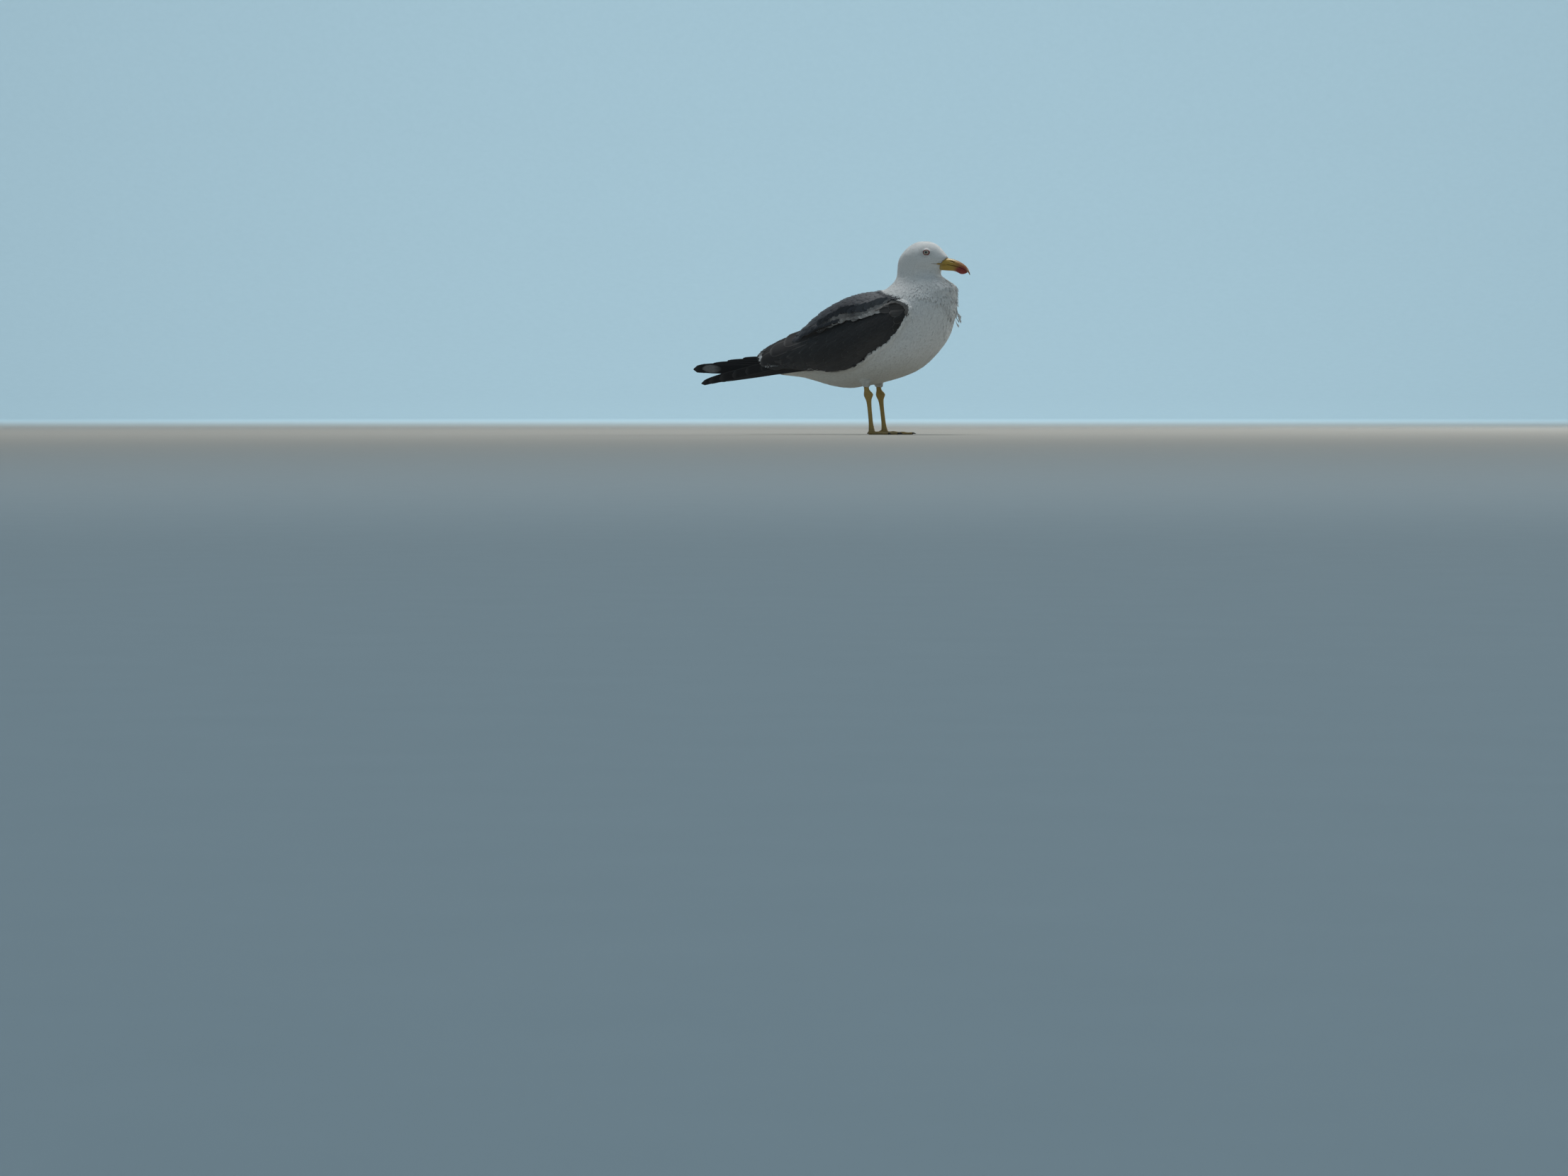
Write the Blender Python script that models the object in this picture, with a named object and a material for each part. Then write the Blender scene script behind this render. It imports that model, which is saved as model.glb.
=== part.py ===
"""Lesser black-backed gull, standing at rest, life size.

The bird faces +X and +Y is its left side. It stands on the plane Z = 0 with the
origin under the middle of its box. Tables and sizes are in millimetres, and the
meshes are made in metres. The head, neck, mantle and trunk are one body shape that
thin cuts divide; wings, tail and thighs are fitted against it with small gaps.
"""

import math

import bmesh
import bpy
import numpy as np
from mathutils import Matrix, Vector

MM = 0.001
GAP = 0.4  # between pieces that meet
FIT_GROWTH = 0.55  # how far a piece is grown before it is cut from its neighbour
BODY_VOXEL = 2.6
BODY_SMOOTHING = 6
BODY_KEPT_SHARE = 0.0365  # of the fine body's triangles
RING_POINTS = 32

# ---- driving sizes -------------------------------------------------------------
# Head and neck, in level slices from the crown down into the breast.
# height, back of slice, front of slice, half width, narrowing towards the face
NECK_SLICES = (
    (318.0, 78, 94, 5, 0.0),
    (315.8, 70, 102, 11, 0.0),
    (311.0, 61, 110.5, 17, 0.05),
    (303.2, 52, 118.5, 22.5, 0.18),
    (296.0, 45.5, 125.0, 25, 0.32),
    (289.0, 41.5, 131, 26, 0.40),
    (281.0, 39.5, 128, 26.5, 0.42),
    (274.0, 39, 119, 26.5, 0.36),
    (267.0, 38.5, 115, 26.5, 0.18),
    (259.0, 38, 115, 28, 0.05),
    (251.0, 33, 120, 31, 0.0),
    (243.0, 23, 131, 36, 0.05),
    (233.0, 12, 139.5, 43, 0.08),
    (220.0, 4, 141, 50, 0.05),
    (205.0, 0, 140, 54, 0.0),
    (188.0, 0, 136.5, 56, 0.0),
    (168.0, 0, 130, 55, 0.0),
    (148.0, 2, 118.5, 50, 0.0),
    (128.0, 6, 98, 42, 0.0),
    (112.0, 14, 78, 30, 0.0),
)
# Trunk, in upright slices from the breast back to the vent.
# place, top, bottom, half width, level of the widest point as a share of the height
TRUNK_SLICES = (
    (124.0, 196, 162, 18, 0.5),
    (112.0, 214, 143, 37, 0.5),
    (95.0, 225, 125, 49, 0.5),
    (74.0, 233, 108, 56, 0.5),
    (50.0, 237, 97.5, 59, 0.5),
    (25.0, 239, 90, 60.5, 0.5),
    (0.0, 238, 85, 60.5, 0.5),
    (-25.0, 234.5, 80.5, 58.5, 0.5),
    (-50.0, 228, 78, 55, 0.5),
    (-78.0, 216, 81.5, 50, 0.5),
    (-104.0, 200.5, 88.5, 43, 0.47),
    (-124.0, 184, 93.5, 36.5, 0.45),
    (-137.0, 166, 95.5, 32, 0.43),
    (-150.0, 146, 97, 28, 0.42),
    (-166.0, 128, 98.5, 22, 0.42),
    (-180.0, 116, 100, 14, 0.45),
)
TRUNK_FULLNESS = 2.25  # exponent of the upright slices: 2 is an ellipse

# Thin cuts through the body: a point on each and the slope of the cut, as rise
# over run towards the bill.
HEAD_CUT = (76.0, 265.0, -0.04)
NECK_CUT = (14.0, 241.0, -0.232)
MANTLE_CUT = (56.0, 219.5, 0.342)

# Folded wing, in upright slices from the bend back to the tertial tips, left side.
# place, top edge (y, z), bottom edge (y, z), outward bulge, thickness
WING_SLICES = (
    (86.0, 54, 209, 54.5, 201, 0.8, 3.0),
    (82.0, 53, 214, 57, 192, 2.0, 6.5),
    (74.0, 51, 218.5, 59.5, 179, 4.0, 8.5),
    (60.0, 50, 219, 60.5, 161, 6.0, 9.5),
    (44.0, 50, 215.5, 60, 147.5, 7.5, 10.0),
    (26.0, 50, 209.5, 58.5, 138, 8.5, 10.0),
    (6.0, 49.5, 203, 57, 123.5, 9.5, 10.0),
    (-18.0, 48.5, 194.5, 55, 111.5, 10.5, 9.5),
    (-50.0, 44, 184, 51, 105.5, 11.0, 9.0),
    (-85.0, 35, 176, 44.5, 107, 11.0, 8.0),
    (-115.0, 21, 172.5, 39, 109.5, 11.0, 7.0),
    (-148.0, 9, 168.5, 33, 111, 10.0, 6.0),
    (-176.0, 6, 159.0, 27.5, 111.5, 8.0, 5.0),
    (-198.0, 6, 149, 23, 113, 5.5, 4.0),
    (-211.0, 8.5, 139.5, 19, 119, 3.0, 3.0),
    (-216.5, 11, 133, 15.5, 125, 1.2, 2.2),
)
WING_EDGE_SHARE = 0.42  # thickness at the wing's two edges, as a share of the middle

# Folded primaries: one closed fan on edge for each wing, from under the secondaries
# to the longest feather's tip, with a step in its top edge at each shorter tip.
# place, distance from the middle plane, top, bottom, thickness
LEFT_PRIMARIES = (
    (-112.0, 31, 127, 108, 5.0),
    (-150.0, 26, 130.5, 106, 5.5),
    (-190.0, 21.5, 132, 104, 6.0),
    (-222.0, 17.5, 131.5, 102.5, 6.0),
    (-256.0, 13.5, 127, 101.5, 5.4),
    (-259.0, 13, 125.2, 101.5, 5.2),
    (-285.0, 10, 122.8, 101.2, 4.4),
    (-288.0, 9.5, 121, 101.2, 4.2),
    (-311.0, 7.5, 118.8, 102, 3.4),
    (-314.0, 7, 117.4, 102.3, 3.2),
    (-333.0, 5, 115.8, 103.8, 2.6),
    (-341.0, 4, 114.2, 105.4, 2.0),
    (-345.0, 3.6, 111.8, 107.8, 1.2),
)
RIGHT_PRIMARIES = (
    (-112.0, 33, 125, 106, 5.0),
    (-145.0, 31.5, 125.5, 102.5, 5.5),
    (-180.0, 29.5, 123, 98.6, 6.0),
    (-210.0, 28, 119, 95, 5.8),
    (-234.0, 26.5, 114, 92.2, 5.4),
    (-237.0, 26, 112.4, 91.8, 5.2),
    (-259.0, 24.5, 107.6, 89.2, 4.6),
    (-262.0, 24, 106, 89, 4.4),
    (-283.0, 22, 101.2, 87, 3.8),
    (-286.0, 21.5, 99.8, 86.8, 3.6),
    (-304.0, 20, 94.6, 85, 2.8),
    (-315.0, 19, 90, 83.9, 2.2),
    (-321.5, 18.5, 86.6, 84.2, 1.2),
)

# Closed tail, from its root in the vent to its tip.
# place, top, thickness, half width
TAIL_SLICES = (
    (-140.0, 116, 8, 15),
    (-165.0, 113.5, 7.5, 18),
    (-195.0, 106.5, 6.5, 20),
    (-225.0, 99.5, 5, 21.5),
    (-246.0, 95, 3.2, 21),
    (-253.0, 93.4, 2.2, 17),
)
TAIL_CAMBER = 3.0  # the tail's sides hang this much below its middle

# Bill: place, culmen height, height of the mouth line, half width at the mouth line
UPPER_BILL = (
    (108.0, 287.5, 281.2, 8.6),
    (118.0, 289.3, 280.8, 8.2),
    (129.0, 289.8, 280.0, 7.2),
    (139.0, 288.0, 278.4, 6.4),
    (148.0, 284.9, 276.2, 5.7),
    (155.5, 280.8, 273.6, 5.0),
    (161.0, 276.6, 270.6, 4.1),
    (165.0, 271.8, 267.2, 3.0),
    (167.4, 267.2, 263.8, 1.7),
    (168.2, 264.2, 262.2, 0.8),
)
# Lower mandible: place, height of the mouth line, height of the keel, half width
LOWER_BILL = (
    (108.0, 280.8, 271.0, 7.9),
    (118.0, 280.4, 270.4, 7.5),
    (129.0, 279.6, 269.6, 6.6),
    (139.0, 278.0, 268.8, 5.8),
    (146.0, 276.2, 266.6, 5.3),
    (151.5, 274.6, 263.9, 4.8),
    (156.5, 272.6, 263.6, 3.9),
    (160.5, 270.4, 264.6, 2.6),
    (163.2, 268.6, 265.8, 1.1),
)

EYE_RADIUS = 6.9
EYE_CENTRE = (98.0, 16.6, 298.8)

# Legs, left side: place, y, height, half depth (fore and aft), half width
THIGH_SLICES = (
    (-14.0, 27.0, 112.0, 17.0, 12.0),
    (-12.0, 26.0, 100.0, 14.0, 10.5),
    (-10.0, 25.2, 90.0, 10.5, 8.0),
    (-8.6, 24.6, 82.5, 6.8, 5.6),
    (-8.0, 24.2, 78.5, 4.9, 4.3),
)
SHANK_SLICES = (
    (-8.0, 24.2, 78.1, 4.3, 3.5),
    (-7.2, 24.0, 73.5, 4.8, 3.8),
    (-6.0, 23.8, 69.5, 6.4, 4.9),
    (-5.2, 23.6, 66.0, 7.2, 5.4),
    (-4.4, 23.4, 62.0, 6.4, 4.8),
    (-3.7, 23.2, 57.0, 4.7, 3.7),
    (-2.6, 22.9, 48.0, 3.9, 2.9),
    (-0.6, 22.3, 32.0, 3.7, 2.7),
    (0.8, 21.9, 20.0, 3.8, 2.8),
    (1.8, 21.6, 12.5, 4.6, 3.5),
    (2.4, 21.5, 8.8, 5.2, 4.2),
)
ANKLE_HEIGHT = 66.0
LEFT_STEP, RIGHT_STEP = 1.5, -2.5  # how far each foot stands ahead of its ankle's own line
FOOT_CENTRE = (3.0, 21.5)
FOOT_TURN = 4.0  # degrees outwards
ANKLE_PAD = (5.8, 4.9, 8.4)  # half depth, half width and height where the toes meet
# Toes of the left foot: name, heading in degrees (outwards is positive), length,
# half width at the root, height at the root
TOES = (
    ("inner", -25.0, 36.0, 3.1, 5.6),
    ("middle", 0.0, 49.0, 3.3, 6.0),
    ("outer", 23.0, 45.0, 3.1, 5.6),
)
TOE_TAPER = 0.62  # height and width at the tip, as a share of the root
TOE_JOINTS = 3
TOE_JOINT_SWELL = 0.13
WEB_THICKNESS = 1.3
WEB_REACH = 0.9  # how far along the toes the web runs
WEB_HOLLOW = 0.2  # how far its front edge curves back
SOLE_LIFT_OF_WEB = 0.3
CLAW = (7.5, 1.9, 1.5)  # length, half height at the root, half width at the root
HALLUX_ROOT = (-3.4, -3.0, 6.2)  # from the foot's centre, inwards is negative
HALLUX_TIP = (-10.5, -6.0, 2.4)
HALLUX_RADIUS = 1.9
HALLUX_CLAW_LENGTH = 3.6

# ---- finishes: colour, roughness, metallic -------------------------------------
FINISHES = {
    "white_plumage": ((0.80, 0.81, 0.80), 0.85, 0.0),
    "slate_plumage": ((0.060, 0.063, 0.070), 0.75, 0.0),
    "black_plumage": ((0.016, 0.015, 0.016), 0.60, 0.0),
    "bill_horn": ((0.72, 0.44, 0.05), 0.38, 0.0),
    "leg_skin": ((0.62, 0.44, 0.10), 0.50, 0.0),
    "claw_horn": ((0.025, 0.022, 0.020), 0.35, 0.0),
    "eye": ((0.70, 0.68, 0.52), 0.08, 0.0),
}


# ---- modelling helpers ---------------------------------------------------------
def clear_scene():
    for obj in list(bpy.data.objects):
        bpy.data.objects.remove(obj)


def finish(name):
    """The named Principled material, made on first use."""
    material = bpy.data.materials.get(name)
    if material is None:
        colour, roughness, metallic = FINISHES[name]
        material = bpy.data.materials.new(name)
        material.use_nodes = True
        shader = material.node_tree.nodes["Principled BSDF"]
        shader.inputs["Base Color"].default_value = (*colour, 1.0)
        shader.inputs["Roughness"].default_value = roughness
        shader.inputs["Metallic"].default_value = metallic
        material.diffuse_color = (*colour, 1.0)
    return material


def curve_through(places, values):
    """A function that runs smoothly through values at places, with no overshoot."""
    order = np.argsort(places)
    x = np.array(places, float)[order]
    y = np.array(values, float)[order]
    rise = np.diff(y) / np.diff(x)
    slope = np.zeros(len(x))
    slope[0] = rise[0]
    slope[-1] = rise[-1]
    for i in range(1, len(x) - 1):
        if rise[i - 1] * rise[i] > 0:
            before, after = x[i] - x[i - 1], x[i + 1] - x[i]
            a, b = 2 * after + before, after + 2 * before
            slope[i] = (a + b) / (a / rise[i - 1] + b / rise[i])

    def value(at):
        at = min(max(at, x[0]), x[-1])
        i = min(int(np.searchsorted(x, at, side="right")) - 1, len(x) - 2)
        width = x[i + 1] - x[i]
        t = (at - x[i]) / width
        return float(
            y[i] * (1 + 2 * t) * (1 - t) ** 2
            + slope[i] * width * t * (1 - t) ** 2
            + y[i + 1] * t * t * (3 - 2 * t)
            + slope[i + 1] * width * t * t * (t - 1)
        )

    return value


def refined(table, steps):
    """The table's rows, with `steps` smooth rows for each of its gaps."""
    places = list(range(len(table)))
    columns = [curve_through(places, [row[k] for row in table]) for k in range(len(table[0]))]
    count = (len(table) - 1) * steps
    return [[column(i / steps) for column in columns] for i in range(count + 1)]


def rounded(cosine, fullness):
    """One axis of a superellipse, with its sign kept."""
    return math.copysign(abs(cosine) ** (2 / fullness), cosine)


def turns(count=RING_POINTS):
    return [2 * math.pi * i / count for i in range(count)]


def loft(rings):
    """A closed skin over rings of points, given in millimetres, as a bmesh in metres."""
    bm = bmesh.new()
    loops = []
    for ring in rings:
        verts = [bm.verts.new(Vector(p) * MM) for p in ring]
        edges = [bm.edges.new((v, verts[i - 1])) for i, v in enumerate(verts)]
        loops.append((verts, edges))
    for (_, first), (_, second) in zip(loops, loops[1:]):
        bmesh.ops.bridge_loops(bm, edges=first + second)
    for verts, _ in (loops[0], loops[-1]):
        bm.faces.new(verts)
    bmesh.ops.recalc_face_normals(bm, faces=bm.faces)
    return bm


def placed(name, bm, material=None, helper=False):
    """The bmesh as an object of the scene. A helper isn't part of the bird."""
    mesh = bpy.data.meshes.new(name)
    bm.to_mesh(mesh)
    bm.free()
    obj = bpy.data.objects.new(name, mesh)
    bpy.context.scene.collection.objects.link(obj)
    if helper:
        obj.hide_render = True
        obj.display_type = "WIRE"
    else:
        mesh.materials.append(finish(material))
        mesh.shade_smooth()
        mesh.set_sharp_from_angle(angle=math.radians(50))
    return obj


def bmesh_of(obj):
    """A bmesh of the object with its modifiers applied."""
    bpy.context.view_layer.update()
    graph = bpy.context.evaluated_depsgraph_get()
    bm = bmesh.new()
    bm.from_object(obj, graph)
    return bm


def discard(*objects):
    for obj in objects:
        bpy.data.objects.remove(obj)


def grown(bm, by):
    """A copy of the closed mesh, moved outwards by some millimetres."""
    copy = bm.copy()
    copy.normal_update()
    normals = [v.normal.copy() for v in copy.verts]
    for v, normal in zip(copy.verts, normals):
        v.co += normal * by * MM
    return copy


def largest_body(bm):
    """Deletes all but the biggest of the mesh's separate bodies."""
    left = set(bm.verts)
    bodies = []
    while left:
        found, edge_of_search = set(), [next(iter(left))]
        while edge_of_search:
            v = edge_of_search.pop()
            if v not in found:
                found.add(v)
                edge_of_search += [e.other_vert(v) for e in v.link_edges]
        bodies.append(found)
        left -= found
    keep = max(bodies, key=len)
    bmesh.ops.delete(bm, geom=[v for v in bm.verts if v not in keep], context="VERTS")
    return bm


def combined(bm, others, operation):
    """bm joined with, or cut by, each of the others with Blender's exact Boolean."""
    target = placed("target", bm, helper=True)
    tools = [placed("tool", other, helper=True) for other in others]
    for tool in tools:
        modifier = target.modifiers.new("combine", "BOOLEAN")
        modifier.operation = operation
        modifier.object = tool
        modifier.solver = "EXACT"
        modifier.use_self = True
    result = bmesh_of(target)
    discard(target, *tools)
    bmesh.ops.remove_doubles(result, verts=result.verts, dist=0.002 * MM)
    return largest_body(result)


def carved(bm, neighbours):
    """bm with room made for its neighbours' full shapes, FIT_GROWTH clear of each."""
    return combined(bm, [grown(other, FIT_GROWTH) for other in neighbours], "DIFFERENCE")


def cut_plane(cut, offset):
    """(point, upward normal) of a sloping cut, moved up by offset millimetres."""
    place, height, slope = cut
    normal = Vector((-slope, 0.0, 1.0)).normalized()
    return Vector((place, 0.0, height)) * MM + normal * offset * MM, normal


def above(bm, cut, keep_above=True, clear=GAP / 2):
    """The part of the closed mesh above (or below) a sloping cut, half a gap clear."""
    point, normal = cut_plane(cut, clear if keep_above else -clear)
    piece = bm.copy()
    bmesh.ops.bisect_plane(
        piece,
        geom=piece.verts[:] + piece.edges[:] + piece.faces[:],
        plane_co=point,
        plane_no=normal,
        clear_inner=keep_above,
        clear_outer=not keep_above,
    )
    rim = [e for e in piece.edges if e.is_boundary]
    bmesh.ops.holes_fill(piece, edges=rim, sides=0)
    bmesh.ops.recalc_face_normals(piece, faces=piece.faces)
    return piece


def below(bm, cut):
    return above(bm, cut, keep_above=False)


def evened(bm):
    """The shape's left half and its mirror image, as one closed mesh of triangles."""
    for v in bm.verts:
        if abs(v.co.y) < 0.4 * MM:
            v.co.y = 0.0
    whole = bm.verts[:] + bm.edges[:] + bm.faces[:]
    bmesh.ops.bisect_plane(
        bm, geom=whole, dist=1e-7, plane_co=(0, 0, 0), plane_no=(0, 1, 0), clear_inner=True
    )
    bmesh.ops.triangulate(bm, faces=bm.faces)
    half = bm.verts[:] + bm.edges[:] + bm.faces[:]
    copy = bmesh.ops.duplicate(bm, geom=half)["geom"]
    others = [g for g in copy if isinstance(g, bmesh.types.BMVert)]
    bmesh.ops.scale(bm, vec=(1.0, -1.0, 1.0), verts=others)
    seam = [v for v in bm.verts if v.is_boundary]
    bmesh.ops.remove_doubles(bm, verts=seam, dist=1e-6)
    bmesh.ops.recalc_face_normals(bm, faces=bm.faces)
    return bm


def mirrored(bm):
    """A copy on the bird's right side."""
    copy = bm.copy()
    bmesh.ops.scale(copy, vec=(1.0, -1.0, 1.0), verts=copy.verts)
    bmesh.ops.reverse_faces(copy, faces=copy.faces)
    return copy


# ---- body ----------------------------------------------------------------------
def neck_shape():
    """Head, neck and breast as one stack of level, egg-shaped slices."""
    rings = []
    for height, back, front, half_width, narrowing in refined(NECK_SLICES, 2):
        middle, half_length = (front + back) / 2, (front - back) / 2
        ring = []
        for turn in turns():
            forward = math.cos(turn)
            side = math.sin(turn) * (1 - narrowing * max(0.0, forward))
            ring.append((middle + half_length * forward, half_width * side, height))
        rings.append(ring)
    return loft(rings)


def trunk_shape():
    """Breast, belly, mantle and vent as one row of upright slices."""
    rings = []
    for place, top, bottom, half_width, widest in refined(TRUNK_SLICES, 2):
        waist = bottom + (top - bottom) * widest
        ring = []
        for turn in turns():
            side = rounded(math.cos(turn), TRUNK_FULLNESS)
            rise = rounded(math.sin(turn), TRUNK_FULLNESS)
            reach = (top - waist) if rise > 0 else (waist - bottom)
            ring.append((place, half_width * side, waist + reach * rise))
        rings.append(ring)
    return loft(rings)


def body_shape():
    """Neck and trunk melted into one smooth closed shape."""
    body = placed("body", trunk_shape(), helper=True)
    neck = placed("neck_stack", neck_shape(), helper=True)
    bm = bmesh_of(body)
    bm.from_mesh(neck.data)
    bm.to_mesh(body.data)
    bm.free()
    melt = body.modifiers.new("melt", "REMESH")
    melt.mode = "VOXEL"
    melt.voxel_size = BODY_VOXEL * MM
    smooth = body.modifiers.new("smooth", "SMOOTH")
    smooth.factor = 0.5
    smooth.iterations = BODY_SMOOTHING
    thin = body.modifiers.new("thin", "DECIMATE")
    thin.ratio = BODY_KEPT_SHARE
    shape = bmesh_of(body)
    discard(body, neck)
    return evened(shape)


# ---- wings and tail ------------------------------------------------------------
def wing_shape():
    """The left folded wing: a curved plate from the scapulars down to its edge."""
    across = 9
    rings = []
    for place, top_y, top_z, low_y, low_z, bulge, thickness in refined(WING_SLICES, 1):
        top, low = Vector((place, top_y, top_z)), Vector((place, low_y, low_z))
        down = (low - top).normalized()
        out = Vector((0.0, -down.z, down.y))
        outer, inner = [], []
        for i in range(across):
            t = i / (across - 1)
            swell = math.sin(math.pi * t)
            face = top.lerp(low, t) + out * bulge * swell
            depth = thickness * (WING_EDGE_SHARE + (1 - WING_EDGE_SHARE) * swell)
            outer.append(face)
            inner.append(face - out * depth)
        rings.append(outer + inner[::-1])
    return loft(rings)


def primaries_shape(table):
    """A folded wing's primaries as one closed fan on edge, on the left side."""
    rings = []
    for place, y, top, bottom, thickness in table:
        middle, half = (top + bottom) / 2, (top - bottom) / 2
        ring = []
        for turn in turns(14):
            across = thickness / 2 * rounded(math.cos(turn), 2.4)
            ring.append((place, y + across, middle + half * rounded(math.sin(turn), 2.4)))
        rings.append(ring)
    return loft(rings)


def tail_shape():
    """The closed tail: a thin cambered plate with a rounded tip."""
    rings = []
    for place, top, thickness, half_width in refined(TAIL_SLICES, 1):
        ring = []
        for turn in turns(16):
            side = rounded(math.cos(turn), 3.0)
            rise = rounded(math.sin(turn), 3.0)
            sag = TAIL_CAMBER * side * side
            height = top - thickness / 2 + thickness / 2 * rise - sag
            ring.append((place, half_width * side, height))
        rings.append(ring)
    return loft(rings)


# ---- bill and eyes -------------------------------------------------------------
def upper_bill_shape():
    """The hooked upper mandible, roof-shaped with a rounded ridge."""
    rings = []
    for place, culmen, mouth, half_width in refined(UPPER_BILL, 1):
        ring = []
        for turn in turns(16):
            side, rise = math.cos(turn), math.sin(turn)
            if rise >= 0:
                height = mouth + (culmen - mouth) * rounded(rise, 2.3)
                reach = half_width * rounded(side, 1.9)
            else:
                height = mouth + 0.35 * rise
                reach = half_width * rounded(side, 3.0)
            ring.append((place, reach, height))
        rings.append(ring)
    return loft(rings)


def lower_bill_shape():
    """The lower mandible, a trough turned upside down with its gonys angle."""
    rings = []
    for place, mouth, keel, half_width in refined(LOWER_BILL, 1):
        ring = []
        for turn in turns(16):
            side, rise = math.cos(turn), math.sin(turn)
            if rise >= 0:
                height = mouth - 0.35 + 0.15 * rise - GAP
                reach = half_width * rounded(side, 3.0)
            else:
                height = mouth - 0.35 - GAP + (mouth - keel - 0.35 - GAP) * -rounded(-rise, 2.1)
                reach = half_width * rounded(side, 2.1)
            ring.append((place, reach, height))
        rings.append(ring)
    return loft(rings)


def eye_shape(radius=EYE_RADIUS):
    bm = bmesh.new()
    bmesh.ops.create_uvsphere(bm, u_segments=14, v_segments=7, radius=radius * MM)
    bmesh.ops.translate(bm, vec=Vector(EYE_CENTRE) * MM, verts=bm.verts)
    return bm


# ---- legs and feet -------------------------------------------------------------
def limb_shape(table, steps=1, points=10):
    """A limb from level elliptical slices: place, y, height, half depth, half width."""
    rings = []
    for place, y, height, half_depth, half_width in refined(table, steps):
        ring = [
            (place + half_depth * math.cos(t), y + half_width * math.sin(t), height)
            for t in turns(points)
        ]
        rings.append(ring)
    return loft(rings)


def toe_end(heading, reach):
    """The point at a distance along a toe, from the middle of the foot."""
    angle = math.radians(heading)
    return Vector((reach * math.cos(angle), reach * math.sin(angle), 0.0))


def toe_shape(heading, length, half_width, height):
    """One toe with a flat sole at Z = 0, knuckles along it and a blunt end."""
    stations = 7
    across = toe_end(heading + 90.0, 1.0)
    rings = []
    for i in range(stations + 1):
        t = i / stations
        taper = 1 - (1 - TOE_TAPER) * t
        knuckle = 1 + TOE_JOINT_SWELL * math.cos(2 * math.pi * TOE_JOINTS * t)
        centre = toe_end(heading, length * t)
        ring = []
        for turn in turns(8):
            lean = math.sin(turn)
            rise = 0.5 + (0.5 if lean > 0 else 0.8) * lean
            lift = height * taper * knuckle * max(0.0, rise)
            side = half_width * taper * knuckle * rounded(math.cos(turn), 2.4)
            ring.append(centre + across * side + Vector((0.0, 0.0, lift)))
        rings.append(ring)
    return loft(rings)


def web_shape(first, second):
    """The web between two toes: a thin plate whose front edge curves back."""
    rim = 8
    start, end = first[1], second[1]
    outline = [toe_end(start, 2.0), toe_end(end, 2.0)]
    for i in range(rim + 1):
        t = i / rim
        heading = end + (start - end) * t
        reach = (second[2] + (first[2] - second[2]) * t) * WEB_REACH
        hollow = 1 - WEB_HOLLOW * math.sin(math.pi * t)
        outline.append(toe_end(heading, reach * hollow))
    bm = bmesh.new()
    lift = Vector((0.0, 0.0, SOLE_LIFT_OF_WEB))
    sole = bm.faces.new([bm.verts.new((p + lift) * MM) for p in outline])
    raised = bmesh.ops.extrude_face_region(bm, geom=[sole])["geom"]
    verts = [g for g in raised if isinstance(g, bmesh.types.BMVert)]
    bmesh.ops.translate(bm, vec=(0.0, 0.0, WEB_THICKNESS * MM), verts=verts)
    bmesh.ops.recalc_face_normals(bm, faces=bm.faces)
    return bm


def pad_shape():
    """The knot where the toes meet under the shank, flat below and above."""
    half_depth, half_width, height = ANKLE_PAD
    rings = []
    for lift, share in ((0.0, 1.0), (3.0, 1.08), (6.0, 1.02), (height, 0.92)):
        ring = [
            (half_depth * share * math.cos(t), half_width * share * math.sin(t), lift)
            for t in turns(14)
        ]
        rings.append(ring)
    return loft(rings)


def foot_shape():
    """Toes, webs and pad of the left foot, about the foot's own centre."""
    toes = [toe_shape(*toe[1:]) for toe in TOES]
    webs = [web_shape(TOES[0], TOES[1]), web_shape(TOES[1], TOES[2])]
    return combined(pad_shape(), toes + webs, "UNION")


def claw_shape(root, heading, pitch, length, half_height, half_width):
    """A curved claw from its root point, bending down towards its tip."""
    stations = 4
    rings = []
    centre = Vector(root)
    angle = math.radians(heading)
    across = Vector((-math.sin(angle), math.cos(angle), 0.0))
    for i in range(stations + 1):
        t = i / stations
        slope = math.radians(pitch - 42.0 * t)
        along = Vector(
            (math.cos(angle) * math.cos(slope), math.sin(angle) * math.cos(slope), math.sin(slope))
        )
        up = along.cross(across) * -1.0
        taper = max(0.16, (1 - t) ** 0.75)
        ring = []
        for turn in turns(6):
            side = across * half_width * taper * math.cos(turn)
            ring.append(centre + side + up * half_height * taper * math.sin(turn))
        rings.append(ring)
        centre = centre + along * length / stations
    return loft(rings)


def hallux_shape():
    """The small hind toe, which slopes down to the floor, about the foot's centre."""
    root, tip = Vector(HALLUX_ROOT), Vector(HALLUX_TIP)
    rings = []
    along = (tip - root).normalized()
    across = along.cross(Vector((0.0, 0.0, 1.0))).normalized()
    up = across.cross(along)
    for i in range(5):
        t = i / 4
        radius = HALLUX_RADIUS * (1 - 0.35 * t)
        centre = root.lerp(tip, t)
        ring = [
            centre + across * radius * math.cos(turn) + up * radius * math.sin(turn)
            for turn in turns(8)
        ]
        rings.append(ring)
    return loft(rings)


def foot_to_body(bm):
    """Turns and moves a piece from the foot's centre to its place under the left leg."""
    turn = Matrix.Rotation(math.radians(FOOT_TURN), 4, "Z")
    bmesh.ops.transform(bm, matrix=turn, verts=bm.verts)
    bmesh.ops.translate(bm, vec=Vector((*FOOT_CENTRE, 0.0)) * MM, verts=bm.verts)
    return bm


def stepped(bm, step):
    """Leans a leg's piece forward, by nothing at the ankle and by step on the floor."""
    for v in bm.verts:
        share = max(0.0, 1 - v.co.z / (ANKLE_HEIGHT * MM))
        v.co.x += step * MM * share
    return bm


# ---- the bird ------------------------------------------------------------------
def both_sides(stem, bm, material):
    """The left piece and its mirror image on the right."""
    placed(stem + "_right", mirrored(bm), material)
    placed(stem + "_left", bm, material)


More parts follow.
